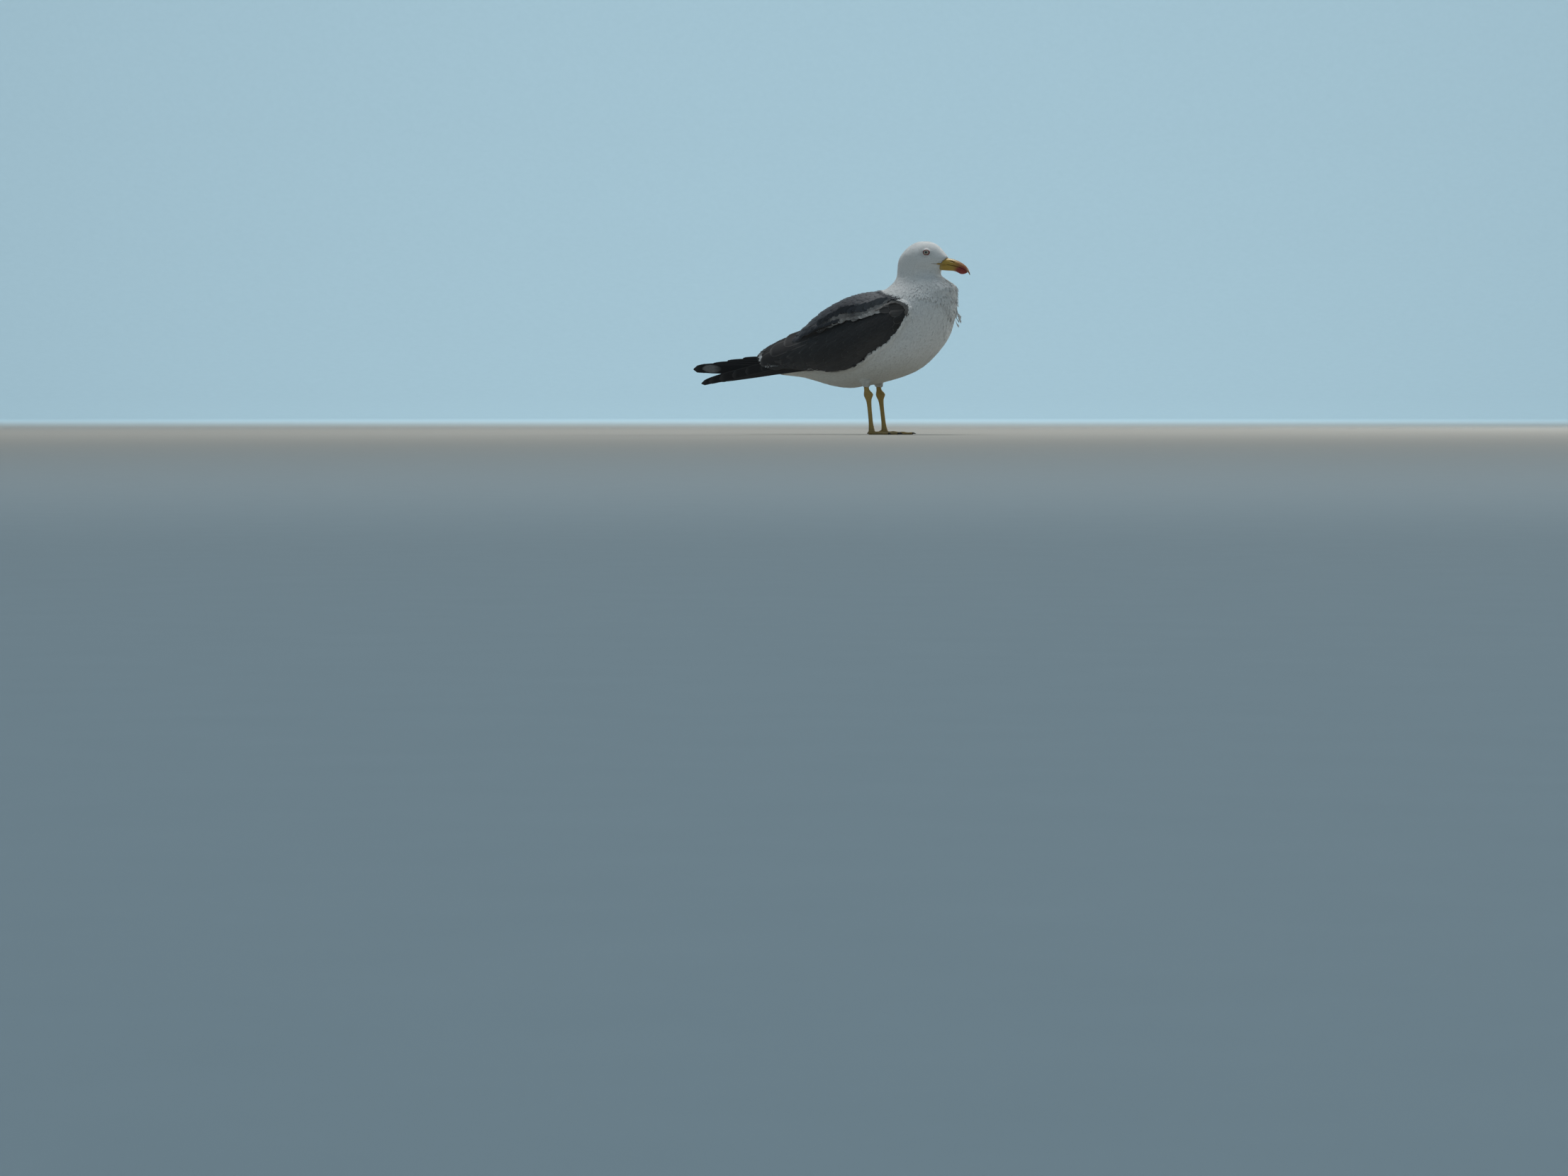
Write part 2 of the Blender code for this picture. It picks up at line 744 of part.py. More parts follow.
def both_legs(stem, bm, material):
    """A leg's piece on each side, with the left one stepped forward."""
    placed(stem + "_right", stepped(mirrored(bm), RIGHT_STEP), material)
    placed(stem + "_left", stepped(bm, LEFT_STEP), material)


def make_head(body):
    upper, lower, eye = upper_bill_shape(), lower_bill_shape(), eye_shape()
    head = carved(above(body, HEAD_CUT), [upper, lower, eye, mirrored(eye)])
    placed("head", head, "white_plumage")
    placed("bill_upper", upper, "bill_horn")
    placed("bill_lower", lower, "bill_horn")
    both_sides("eye", eye, "eye")


def make_trunk_and_wings(body):
    rest = below(body, HEAD_CUT)
    neck, trunk = above(rest, NECK_CUT), below(rest, NECK_CUT)
    mantle, trunk = above(trunk, MANTLE_CUT), below(trunk, MANTLE_CUT)
    mantle_room = above(grown(body, FIT_GROWTH), MANTLE_CUT, clear=-GAP / 2)
    whole_wing, tail = wing_shape(), tail_shape()
    wing = combined(whole_wing.copy(), [mantle_room], "DIFFERENCE")
    trunk = carved(trunk, [whole_wing, mirrored(whole_wing), tail])
    thigh = carved(limb_shape(THIGH_SLICES), [body])
    left = carved(primaries_shape(LEFT_PRIMARIES), [whole_wing, body, tail])
    right = carved(primaries_shape(RIGHT_PRIMARIES), [whole_wing, body, tail])
    placed("neck", neck, "white_plumage")
    placed("mantle", mantle, "slate_plumage")
    placed("trunk", trunk, "white_plumage")
    placed("tail", tail, "white_plumage")
    placed("primaries_left", left, "black_plumage")
    placed("primaries_right", mirrored(right), "black_plumage")
    both_sides("wing", wing, "slate_plumage")
    both_sides("thigh", thigh, "white_plumage")


def make_legs():
    both_legs("shank", limb_shape(SHANK_SLICES), "leg_skin")
    foot = foot_shape()
    hallux = carved(hallux_shape(), [foot])
    both_legs("foot", foot_to_body(foot), "leg_skin")
    both_legs("hallux", foot_to_body(hallux), "leg_skin")
    length, half_height, half_width = CLAW
    for name, heading, reach, _, height in TOES:
        root = toe_end(heading, reach + GAP)
        root.z = height * TOE_TAPER * 0.55
        claw = claw_shape(root, heading, 6.0, length, half_height, half_width)
        both_legs("claw_" + name, foot_to_body(claw), "claw_horn")
    root, tip = Vector(HALLUX_ROOT), Vector(HALLUX_TIP)
    way = (tip - root).normalized()
    heading = math.degrees(math.atan2(way.y, way.x))
    pitch = math.degrees(math.asin(way.z))
    claw = claw_shape(tip + way * GAP, heading, pitch, HALLUX_CLAW_LENGTH, 1.1, 0.9)
    for v in claw.verts:
        v.co.z = max(v.co.z, 0.0)  # the claw's point rests on the floor behind the toes
    both_legs("claw_hallux", foot_to_body(claw), "claw_horn")


def put_origin_under_middle():
    """Slides every mesh so that the origin is under the middle of the bird's box."""
    corners = [v.co for obj in bpy.data.objects for v in obj.data.vertices]
    low = Vector([min(c[k] for c in corners) for k in range(3)])
    high = Vector([max(c[k] for c in corners) for k in range(3)])
    shift = Vector((-(low.x + high.x) / 2, -(low.y + high.y) / 2, -low.z))
    for obj in bpy.data.objects:
        obj.data.transform(Matrix.Translation(shift))


def main():
    clear_scene()
    body = body_shape()
    make_head(body)
    make_trunk_and_wings(body)
    make_legs()
    put_origin_under_middle()


main()
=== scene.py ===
"""Looks of the lesser black-backed gull: skin, plumage, head, bill, legs and studio.

Shapes are given in millimetres on the bird's own scale: x towards the bill, y to its
left and z up, from a point on the floor between the legs. world() places them on the
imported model, whose bill tip fixes where that scale starts.
"""

import math

import bmesh
import bpy
import numpy as np
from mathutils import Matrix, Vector, kdtree
from mathutils.bvhtree import BVHTree

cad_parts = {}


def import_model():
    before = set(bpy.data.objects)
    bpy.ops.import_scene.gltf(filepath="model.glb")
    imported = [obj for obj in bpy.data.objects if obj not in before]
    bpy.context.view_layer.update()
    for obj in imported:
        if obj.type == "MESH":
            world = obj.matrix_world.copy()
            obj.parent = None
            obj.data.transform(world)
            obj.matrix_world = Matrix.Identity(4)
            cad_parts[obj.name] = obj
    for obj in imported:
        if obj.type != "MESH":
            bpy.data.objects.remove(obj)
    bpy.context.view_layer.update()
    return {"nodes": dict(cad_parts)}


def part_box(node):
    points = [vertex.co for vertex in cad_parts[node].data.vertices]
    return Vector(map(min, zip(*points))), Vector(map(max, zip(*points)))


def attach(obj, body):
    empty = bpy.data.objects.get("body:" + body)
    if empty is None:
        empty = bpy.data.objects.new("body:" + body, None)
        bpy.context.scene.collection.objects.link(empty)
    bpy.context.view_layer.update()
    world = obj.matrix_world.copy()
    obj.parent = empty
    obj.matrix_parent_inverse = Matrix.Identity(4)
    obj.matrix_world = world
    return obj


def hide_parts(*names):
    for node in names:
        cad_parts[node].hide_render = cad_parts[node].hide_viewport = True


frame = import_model()

MM = 0.001
BILL_TIP = 168.2  # the bill tip's place on the bird's own scale
SHIFT = np.array([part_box("bill_upper")[1].x / MM - BILL_TIP, 0.0, 0.0])
RIGHT, LEFT = -1.0, 1.0
SIDE_NAMES = {RIGHT: "right", LEFT: "left"}
PATCH = 0.003  # width of one vane's patch in the OFBake map

FLESH = ("head", "neck", "trunk", "mantle", "thigh_left", "thigh_right")
WINGS = ("wing_left", "wing_right")
EYES = ("eye_left", "eye_right")  # melted in so that the skin closes round them
FLESH_GROWTH = 0.6  # closes the thin cuts between the flesh nodes
WING_THINNING = 0.7  # the coverts need more room than the wing's edges
CALM_LEVELS = 8  # steps from untouched to fully ironed
SCATTER_TRIES = 5.0  # points tried for each one wanted
SKIN_VOXEL = 1.7

EYE_CENTRE = np.array([98.0, 16.6, 298.8])
EYE_RADIUS = 6.9
EYEBALL_RADIUS = EYE_RADIUS - 0.15  # the ball that is seen, a little inside its node
EYE_AXIS = np.array([0.22, 0.965, 0.10])  # where the left eye looks
EYE_FORWARD = np.array([1.0, 0.0, -0.06])  # about the way from corner to corner
EYE_RING = (5.9, 4.35)  # half width and half height of the red ring, outside
BILL_ROOT = np.array([122.0, 0.0, 284.0])
BILL_PLUG = np.array([(110.5, 0.0, 279.6), (9.5, 8.7, 9.2)])  # fills the bill's socket: middle, radii
BREAST_KNOB = np.array([137.0, 0.0, 187.0])
NOSTRIL = np.array([138.5, 0.0, 284.1])
GONYS_SPOT = np.array([154.0, 0.0, 266.5])  # middle of the red on the keel's angle
REAR_END = -128.0  # behind this place no feathers of the back or coverts root


# ---- small tools ---------------------------------------------------------------
def world(points):
    """Points on the bird's own scale, in metres in the frame."""
    return (np.asarray(points, float) + SHIFT) * MM


def unit(vectors):
    vectors = np.asarray(vectors, float)
    return vectors / np.maximum(np.linalg.norm(vectors, axis=-1, keepdims=True), 1e-9)


def ramp(low, high, value):
    """0 before low, 1 past high, smooth between."""
    t = np.clip((np.asarray(value, float) - low) / (high - low), 0.0, 1.0)
    return t * t * (3 - 2 * t)


def blend(a, b, share):
    return a + (b - a) * share


def laid(ways, normals):
    """Ways turned down into the surface with these normals."""
    return unit(ways - normals * (ways * normals).sum(-1, keepdims=True))


def side_on(x, up, out=0.0):
    """Points or ways from their forward and upward parts, `out` to the bird's left."""
    return np.stack(np.broadcast_arrays(x, out, up), -1).astype(float)


def circle(count):
    """Cosines and sines of evenly spaced angles round a circle."""
    turn = np.arange(count) * 2 * math.pi / count
    return np.cos(turn), np.sin(turn)


def signed_power(values, power):
    """A power that keeps the sign, for sections fuller or leaner than an ellipse."""
    return np.sign(values) * np.abs(values) ** power


def round_end(left, reach, power=2.0, cut=0.97):
    """A blade's share of its width, rounded off where less than `reach` is left of it."""
    return np.sqrt(1 - cut * np.clip(1 - left / reach, 0, 1) ** power)


def follow(table, at):
    """Rows of the table, first column the place, read between its rows at `at`."""
    rows = np.array(table, float)
    rows = rows[np.argsort(rows[:, 0])]
    return np.stack([np.interp(at, rows[:, 0], rows[:, k]) for k in range(1, rows.shape[1])], -1)


def smooth_rows(table, steps):
    """The table's rows with smooth rows between them, through every given row."""
    rows = np.array(table, float)
    padded = np.vstack([2 * rows[0] - rows[1], rows, 2 * rows[-1] - rows[-2]])
    out = []
    for i in range(1, len(rows)):
        p0, p1, p2, p3 = padded[i - 1 : i + 3]
        for k in range(steps):
            t = k / steps
            bend = (2 * p0 - 5 * p1 + 4 * p2 - p3) * t * t
            out.append(0.5 * (2 * p1 + (p2 - p0) * t + bend + (3 * p1 - p0 - 3 * p2 + p3) * t**3))
    out.append(rows[-1])
    return np.array(out)


def linked(name, data):
    """A new object of the scene."""
    obj = bpy.data.objects.new(name, data)
    bpy.context.scene.collection.objects.link(obj)
    return obj


def dressed(piece, slot, *replaced):
    """A finished piece: what it rides on and the nodes that it replaces. Its slot is not used."""
    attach(piece, "root")
    if replaced:
        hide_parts(*replaced)
    return piece


def mesh_object(name, bm, material, crease=70):
    """The bmesh as an object, shaded smooth but for edges sharper than `crease` degrees."""
    mesh = bpy.data.meshes.new(name)
    bm.to_mesh(mesh)
    bm.free()
    mesh.materials.append(material)
    mesh.shade_smooth()
    if crease:
        mesh.set_sharp_from_angle(angle=math.radians(crease))
    return linked(name, mesh)


def move_verts(bm, points):
    """Sets a bmesh's points, in the order of its vertices."""
    for v, p in zip(bm.verts, points):
        v.co = p


def swell(bm, growth):
    """Moves a bmesh's points outwards by `growth`, in millimetres."""
    bm.normal_update()
    normals = [v.normal.copy() for v in bm.verts]
    for v, normal in zip(bm.verts, normals):
        v.co += normal * growth * MM


def absorb(whole, *pieces):
    """Adds bmeshes to another one and frees them."""
    for piece in pieces:
        mesh = bpy.data.meshes.new("part")
        piece.to_mesh(mesh)
        piece.free()
        whole.from_mesh(mesh)
        bpy.data.meshes.remove(mesh)


def merged(pieces):
    """Several bmeshes as one."""
    whole = bmesh.new()
    absorb(whole, *pieces)
    bmesh.ops.recalc_face_normals(whole, faces=whole.faces)
    return whole


def loft(rings):
    """A closed skin over rings of points on the bird's own scale."""
    bm = bmesh.new()
    loops = []
    for ring in rings:
        verts = [bm.verts.new(p) for p in world(ring)]
        loops.append((verts, [bm.edges.new((v, verts[i - 1])) for i, v in enumerate(verts)]))
    for (_, first), (_, second) in zip(loops, loops[1:]):
        bmesh.ops.bridge_loops(bm, edges=first + second)
    for verts, _ in (loops[0], loops[-1]):
        bm.faces.new(verts)
    bmesh.ops.recalc_face_normals(bm, faces=bm.faces)
    return bm


def wrapped(across, along, shape):
    """A grid bent into a closed surface by shape(a, b), both from 0 to 1."""
    bm = bmesh.new()
    bmesh.ops.create_grid(bm, x_segments=across, y_segments=along, size=1.0)
    flat = (np.array([v.co[:2] for v in bm.verts]) + 1) / 2
    move_verts(bm, world(shape(flat[:, 0], flat[:, 1])))
    bmesh.ops.remove_doubles(bm, verts=bm.verts, dist=1e-6)
    bmesh.ops.recalc_face_normals(bm, faces=bm.faces)
    return bm


def smoothed(obj, rounds, group=""):
    """Evens out an object, or one vertex group of it, and applies all its modifiers."""
    even = obj.modifiers.new("even", "SMOOTH")
    even.vertex_group = group
    even.factor = 0.5
    even.iterations = rounds
    bpy.context.view_layer.update()
    bm = bmesh.new()
    bm.from_object(obj, bpy.context.evaluated_depsgraph_get())
    obj.modifiers.clear()
    bm.to_mesh(obj.data)
    bm.free()


def read(items, name, width=3, kind=np.float32):
    """One property of all of a mesh's items, a row for each."""
    values = np.empty(len(items) * width, kind)
    items.foreach_get(name, values)
    return values.reshape(-1, width)


def write(items, name, values):
    items.foreach_set(name, np.ascontiguousarray(values, np.float32).ravel())


def set_attributes(mesh, **rows):
    """Three numbers at each point under each name. The tint is stored as a colour."""
    for name, values in rows.items():
        if name == "tint":
            attribute = mesh.attributes.new(name, "FLOAT_COLOR", "POINT")
            write(attribute.data, "color", np.column_stack([values, np.ones(len(values))]))
        else:
            attribute = mesh.attributes.new(name, "FLOAT_VECTOR", "POINT")
            write(attribute.data, "vector", values)


def coordinates(mesh):
    """A mesh's points on the bird's own scale."""
    return read(mesh.vertices, "co").astype(float) / MM - SHIFT


def move_points(mesh, points):
    write(mesh.vertices, "co", world(points))
    mesh.update()


def eye_frame(side):
    """An eye's centre and its outward, forward and upward ways."""
    out = unit(EYE_AXIS * (1, side, 1))
    fore = unit(EYE_FORWARD - out * (EYE_FORWARD @ out))
    up = np.cross(out, fore) * -side
    return EYE_CENTRE * (1, side, 1), out, fore, up if up[2] > 0 else -up


# ---- shader tools --------------------------------------------------------------
class Value:
    """A socket's output, on which Python's arithmetic adds Math nodes."""

    def __init__(self, finish, socket):
        self.finish, self.socket = finish, socket

    def math(self, operation, *values):
        return self.finish.node("ShaderNodeMath", {"operation": operation}, dict(enumerate(values)))[0]

    def step(self, low, high):
        """0 below low, 1 above high, smooth between."""
        settings = {"interpolation_type": "SMOOTHSTEP"}
        inputs = {"Value": self, "From Min": low, "From Max": high}
        return self.finish.node("ShaderNodeMapRange", settings, inputs)["Result"]


def math_method(operation, reflected=False):
    """A method of Value that adds one Math node, its values in order or reflected."""
    def method(self, *others):
        return self.math(operation, *others, self) if reflected else self.math(operation, self, *others)
    return method


VALUE_METHODS = {
    "__add__": "ADD", "__radd__": "ADD", "__mul__": "MULTIPLY", "__rmul__": "MULTIPLY",
    "__sub__": "SUBTRACT", "__truediv__": "DIVIDE", "__pow__": "POWER", "__abs__": "ABSOLUTE",
    "least": "MINIMUM", "most": "MAXIMUM", "wave": "SINE", "fraction": "FRACT",
}
for method_name, math_operation in VALUE_METHODS.items():
    setattr(Value, method_name, math_method(math_operation))
Value.__rsub__ = math_method("SUBTRACT", reflected=True)


class Finish:
    """A node material: one method adds any node, and mix() blends colours."""

    def __init__(self, name):
        self.material = bpy.data.materials.new(name)
        self.material.use_nodes = True
        self.tree = self.material.node_tree
        self.shader = self.tree.nodes["Principled BSDF"]

    def node(self, kind, settings=None, inputs=None):
        node = self.tree.nodes.new(kind)
        for key, value in (settings or {}).items():
            setattr(node, key, value)
        for key, value in (inputs or {}).items():
            self.feed(node.inputs[key], value)
        return Outputs(self, node)

    def feed(self, socket, value):
        if isinstance(value, Value):
            self.tree.links.new(value.socket, socket)
        elif socket.type == "RGBA" and len(value) == 3:
            socket.default_value = (*value, 1.0)
        else:
            socket.default_value = value

    def set(self, **inputs):
        """Sets or links the shader's own sockets, named with _ for a space."""
        for key, value in inputs.items():
            self.feed(self.shader.inputs[key.replace("_", " ")], value)
        return self.material

    def place(self):
        """Object coordinates in metres, and their three parts."""
        vector = self.node("ShaderNodeTexCoord")["Object"]
        return vector, *self.parts(vector)

    def attribute(self, name):
        """A point attribute as a colour, and its three parts."""
        found = self.node("ShaderNodeAttribute", {"attribute_name": name})
        return found["Color"], *self.parts(found["Vector"])

    def parts(self, vector):
        split = self.node("ShaderNodeSeparateXYZ", None, {0: vector})
        return split[0], split[1], split[2]

    def noise(self, vector, scale, detail=2.0, roughness=0.5):
        inputs = {"Vector": vector, "Scale": scale, "Detail": detail, "Roughness": roughness}
        return self.node("ShaderNodeTexNoise", None, inputs)[0]

    def cells(self, vector, scale, feature):
        inputs = {"Vector": vector, "Scale": scale}
        return self.node("ShaderNodeTexVoronoi", {"feature": feature}, inputs)[0]

    def stretched(self, vector, scale):
        return self.node("ShaderNodeMapping", None, {"Vector": vector, "Scale": scale})[0]

    def joined(self, x, y, z):
        return self.node("ShaderNodeCombineXYZ", None, {0: x, 1: y, 2: z})[0]

    def mix(self, share, first, second, how="MIX"):
        settings = {"data_type": "RGBA", "blend_type": how}
        return self.node("ShaderNodeMix", settings, {0: share, 6: first, 7: second})[2]

    def shaded(self, tint, level):
        """A colour made darker or lighter by a level."""
        return self.mix(1.0, tint, self.joined(level, level, level), "MULTIPLY")

    def bump(self, height, strength, distance):
        inputs = {"Height": height, "Strength": strength, "Distance": distance * MM}
        return self.node("ShaderNodeBump", None, inputs)[0]


class Outputs:
    def __init__(self, finish, node):
        self.finish, self.outputs = finish, node.outputs

    def __getitem__(self, key):
        return Value(self.finish, self.outputs[key])


# ---- colours of the plumage ----------------------------------------------------
# The second white is the belly's cream, made darker still as painted shade of the lower body.
WHITE, BELLY_CREAM_AND_SHADE = np.array([(0.80, 0.81, 0.80), (0.66, 0.655, 0.61)])
# The second slate is painted light: the upper mantle lit from above, lighter than the rest of the back.
SLATE, MANTLE_PAINTED_LIGHT = np.array([(0.032, 0.035, 0.043), (0.084, 0.090, 0.101)])
COVERT, LOWER_COVERT, FRONT_COVERT = np.array(
    [(0.030, 0.029, 0.030), (0.050, 0.046, 0.045), (0.030, 0.028, 0.029)])
TERTIAL, INNER_TERTIAL = (0.031, 0.028, 0.028), (0.042, 0.039, 0.040)
PRIMARY = (0.0115, 0.0108, 0.0120)
TAIL_WHITE, RUMP_WHITE = (0.78, 0.78, 0.77), (0.76, 0.76, 0.75)

# Planes that bound the slate back: a point and the rise over run towards the bill.
NECK_LINE = (8.0, 241.0, -0.232)
MANTLE_LINE = (56.0, 219.5, 0.342)


def above_line(points, line):
    """How far points are above a sloping line seen from the side, in millimetres."""
    place, height, slope = line
    return (points[..., 2] - height - slope * (points[..., 0] - place)) / math.hypot(1, slope)


def back_share(points):
    """1 on the slate back, 0 on the white neck and body."""
    below_neck = ramp(-3.0, -6.0, above_line(points, NECK_LINE))
    return below_neck * ramp(-3.0, 0.0, above_line(points, MANTLE_LINE)) * ramp(-150, -140, points[:, 0])


# The folded wing seen from the side: place, top edge, bottom edge.
WING_OUTLINE = (
    (83, 206, 202), (80, 211, 194), (73, 216, 181.5), (62, 219, 166), (48, 219, 150.5),
    (30, 213, 141), (15, 208, 132), (3, 204, 122), (-18, 196, 111), (-50, 186, 104.5),
    (-87, 178, 107), (-115, 175, 110), (-148, 171, 112), (-178, 160, 112),
    (-200, 150, 113), (-212, 140, 119), (-217, 133, 126),
)


def wing_reach(points):
    """How far a point is inside the folded wing's outline, seen from the side."""
    x, _, z = points.T
    upper, lower = follow(WING_OUTLINE, x).T
    return np.minimum(np.minimum(upper - z, z - lower), WING_OUTLINE[0][0] + 1 - x)


def wing_side(points):
    """True where a point is far enough out to be on a wing and not on the body."""
    out = blend(42.0, 3.0, ramp(-60, -150, points[:, 0]))
    return (np.abs(points[:, 1]) > out) & (points[:, 0] < 86)


def on_wing(points):
    """True on the wings' faces, where the wing's own rows grow."""
    return (wing_reach(points) > 0) & wing_side(points)


def slate_and_painted_light(points):
    """The slate of the back, with painted light that makes it lightest on the upper mantle."""
    return blend(SLATE, MANTLE_PAINTED_LIGHT, ramp(-30, 30, points[:, 0])[:, None])


def plumage_colour(points):
    """The markings: the colour of skin and coat at points of the body, with painted shade that darkens the
    white of the lower body and painted light on the upper mantle.
    """
    # Partly the belly's cream, partly painted shade: the white darkens from 150 mm down to 95 mm.
    white = blend(WHITE, BELLY_CREAM_AND_SHADE, ramp(150, 95, points[:, 2])[:, None])
    winged = (ramp(0.0, 2.0, wing_reach(points)) * wing_side(points))[:, None]
    body = blend(white, slate_and_painted_light(points), back_share(points)[:, None])
    return blend(body, COVERT, winged)


# ---- skin ----------------------------------------------------------------------
def flesh_copy(name):
    """A node's mesh with its loose triangles joined, grown to meet its neighbours."""
    bm = bmesh.new()
    bm.from_mesh(frame["nodes"][name].data)
    bmesh.ops.remove_doubles(bm, verts=bm.verts, dist=1e-6)
    swell(bm, FLESH_GROWTH)
    if name in WINGS:
        swell(bm, -WING_THINNING)
    return bm


def coat_depth(points):
    """How deep the coat lies over the skin, in millimetres."""
    x, _, z = points.T
    head = ramp(258, 285, z)
    depth = blend(2.4, 1.3, head)
    depth = blend(depth, 0.7, ramp(85, 118, x) * head)
    depth = blend(depth, 3.2, back_share(points))
    depth = blend(depth, 1.0, ramp(92, 80, z) * ramp(-30, -22, x))
    return depth * ramp(0.7, 2.2, eye_reach(points)) + 0.25


# The lower edge of the loose ruff: distance from the middle plane, height.
RUFF_EDGE = ((0, 190), (5, 197), (12, 203), (15, 211), (19, 217.7), (26, 221), (32, 224), (39, 228),
             (44, 236), (50, 250))


def ruff_swell(points):
    """How far the ruff of the throat swells the body under its loose feathers."""
    x, y, z = points.T
    return 5.2 * (ramp(226, 238, z) * ramp(265, 250, z)) * ramp(80, 104, x) * ramp(40, 12, np.abs(y))


def ruff_loft(points):
    """How far the loose feathers of the throat and upper breast stand out."""
    x, y, z = points.T
    flap = ramp(-1.0, 0.5, z - follow(RUFF_EDGE, np.abs(y))[:, 0]) * ramp(262, 246, z)
    return 1.7 * flap * ramp(80, 100, x)


def coat_loft(points):
    """How far the coat stands over the skin: its depth, and more where it is fluffed."""
    x, y, z = points.T
    vent = ramp(116, 98, z) * ramp(12, -36, x) * ramp(-140, -100, x)
    beside_wing = ramp(-16, -1, wing_reach(points)) * ramp(115, 135, z)
    beside_wing = beside_wing * ramp(30, 40, np.abs(y)) * ramp(212, 200, z)
    return coat_depth(points) + 1.0 * vent + 1.6 * beside_wing + ruff_loft(points)


def build_skin(material):
    """One skin for all the flesh, inside it by the depth of the coat."""
    bm = bmesh.new()
    absorb(bm, *(flesh_copy(name) for name in FLESH + WINGS + EYES))
    plug = bmesh.ops.create_icosphere(bm, subdivisions=4, radius=1.0)
    for v in plug["verts"]:
        v.co = Vector(world(BILL_PLUG[0] + np.array(v.co) * BILL_PLUG[1]))
    skin = mesh_object("skin", bm, material, crease=None)
    melt = skin.modifiers.new("melt", "REMESH")
    melt.mode = "VOXEL"
    melt.voxel_size = SKIN_VOXEL * MM
    smoothed(skin, 10)
    calm_body(skin)
    shrink_to_skin(skin)
    smoothed(skin, 5)
    seat_eyes(skin)
    skin.data.shade_smooth()
    unwrap(skin)
    set_attributes(skin.data, tint=plumage_colour(coordinates(skin.data)))
    return dressed(skin, "white_plumage", *FLESH, *WINGS)


def calm_body(skin):
    """Irons out the seams between the flesh nodes, away from wings, face and legs."""
    points = coordinates(skin.data)
    x, y, z = points.T
    clear = np.maximum(ramp(2, 7, -wing_reach(points)), ramp(20, 12, np.abs(y)))
    share = clear * ramp(104, 118, z) * ramp(262, 250, z) * ramp(0, 20, x)
    group = skin.vertex_groups.new(name="calm")
    for level in range(1, CALM_LEVELS + 1):
        chosen = np.nonzero(np.rint(share * CALM_LEVELS) == level)[0]
        group.add(chosen.tolist(), level / CALM_LEVELS, "REPLACE")
    smoothed(skin, 45, "calm")
    skin.vertex_groups.clear()


def shrink_to_skin(skin):
    """Draws the flesh in by the coat's depth, and out again under the ruff."""
    points = coordinates(skin.data)
    normals = np.array([v.normal for v in skin.data.vertices])
    depth = coat_depth(points) * skin_room(points) - ruff_swell(points)
    move_points(skin.data, points - normals * depth[:, None])


def eye_place(points, side):
    """Points in an eye's own directions: forward, up and out."""
    centre, out, fore, up = eye_frame(side)
    off = points - centre
    return off @ fore, off @ up, off @ out


def eye_reach(points):
    """How far points are from the nearer eye's middle, as a share of its ring."""
    reach = np.full(len(points), 9.0)
    for side in (RIGHT, LEFT):
        fore, up, out = eye_place(points, side)
        here = np.hypot(fore / EYE_RING[0], up / EYE_RING[1])
        reach = np.where((out > 0) & (points[:, 1] * side > 0), here, reach)
    return reach


def seat_eyes(skin):
    """Draws the skin over each eyeball up to its ring, and clear of it inside."""
    points = coordinates(skin.data)
    for side in (RIGHT, LEFT):
        fore, up, out = eye_place(points, side)
        flat = np.hypot(fore, up)
        ball = np.sqrt(np.maximum(EYEBALL_RADIUS**2 - flat**2, 0.0))
        reach = np.hypot(fore / EYE_RING[0], up / EYE_RING[1])
        near = (out > 0) & (points[:, 1] * side > 0) & (flat < 6.7)
        level = np.maximum(out, ball) - ramp(0.95, 0.72, reach) * 3.4
        points = points + np.where(near, level - out, 0.0)[:, None] * eye_frame(side)[1]
    move_points(skin.data, points)


def skin_room(points):
    """Less of the coat's depth where the skin is a thin plate, as on the wings."""
    out = 30 - 25 * ramp(-90, -150, points[:, 0])
    wing = ramp(-5, -1, wing_reach(points)) * ramp(out - 5, out, np.abs(points[:, 1]))
    knob = np.exp(-(((points - BREAST_KNOB) / 7.0) ** 2).sum(-1))
    return 1 - 0.88 * wing + 0.7 * knob


def unwrap(obj):
    """Cuts the surface into flat islands, as the map OFBake."""
    obj.data.uv_layers.new(name="OFBake")
    bpy.context.view_layer.objects.active = obj
    obj.select_set(True)
    bpy.ops.object.mode_set(mode="EDIT")
    bpy.ops.mesh.select_all(action="SELECT")
    bpy.ops.uv.smart_project(angle_limit=math.radians(66), island_margin=0.002)
    bpy.ops.object.mode_set(mode="OBJECT")
    obj.select_set(False)


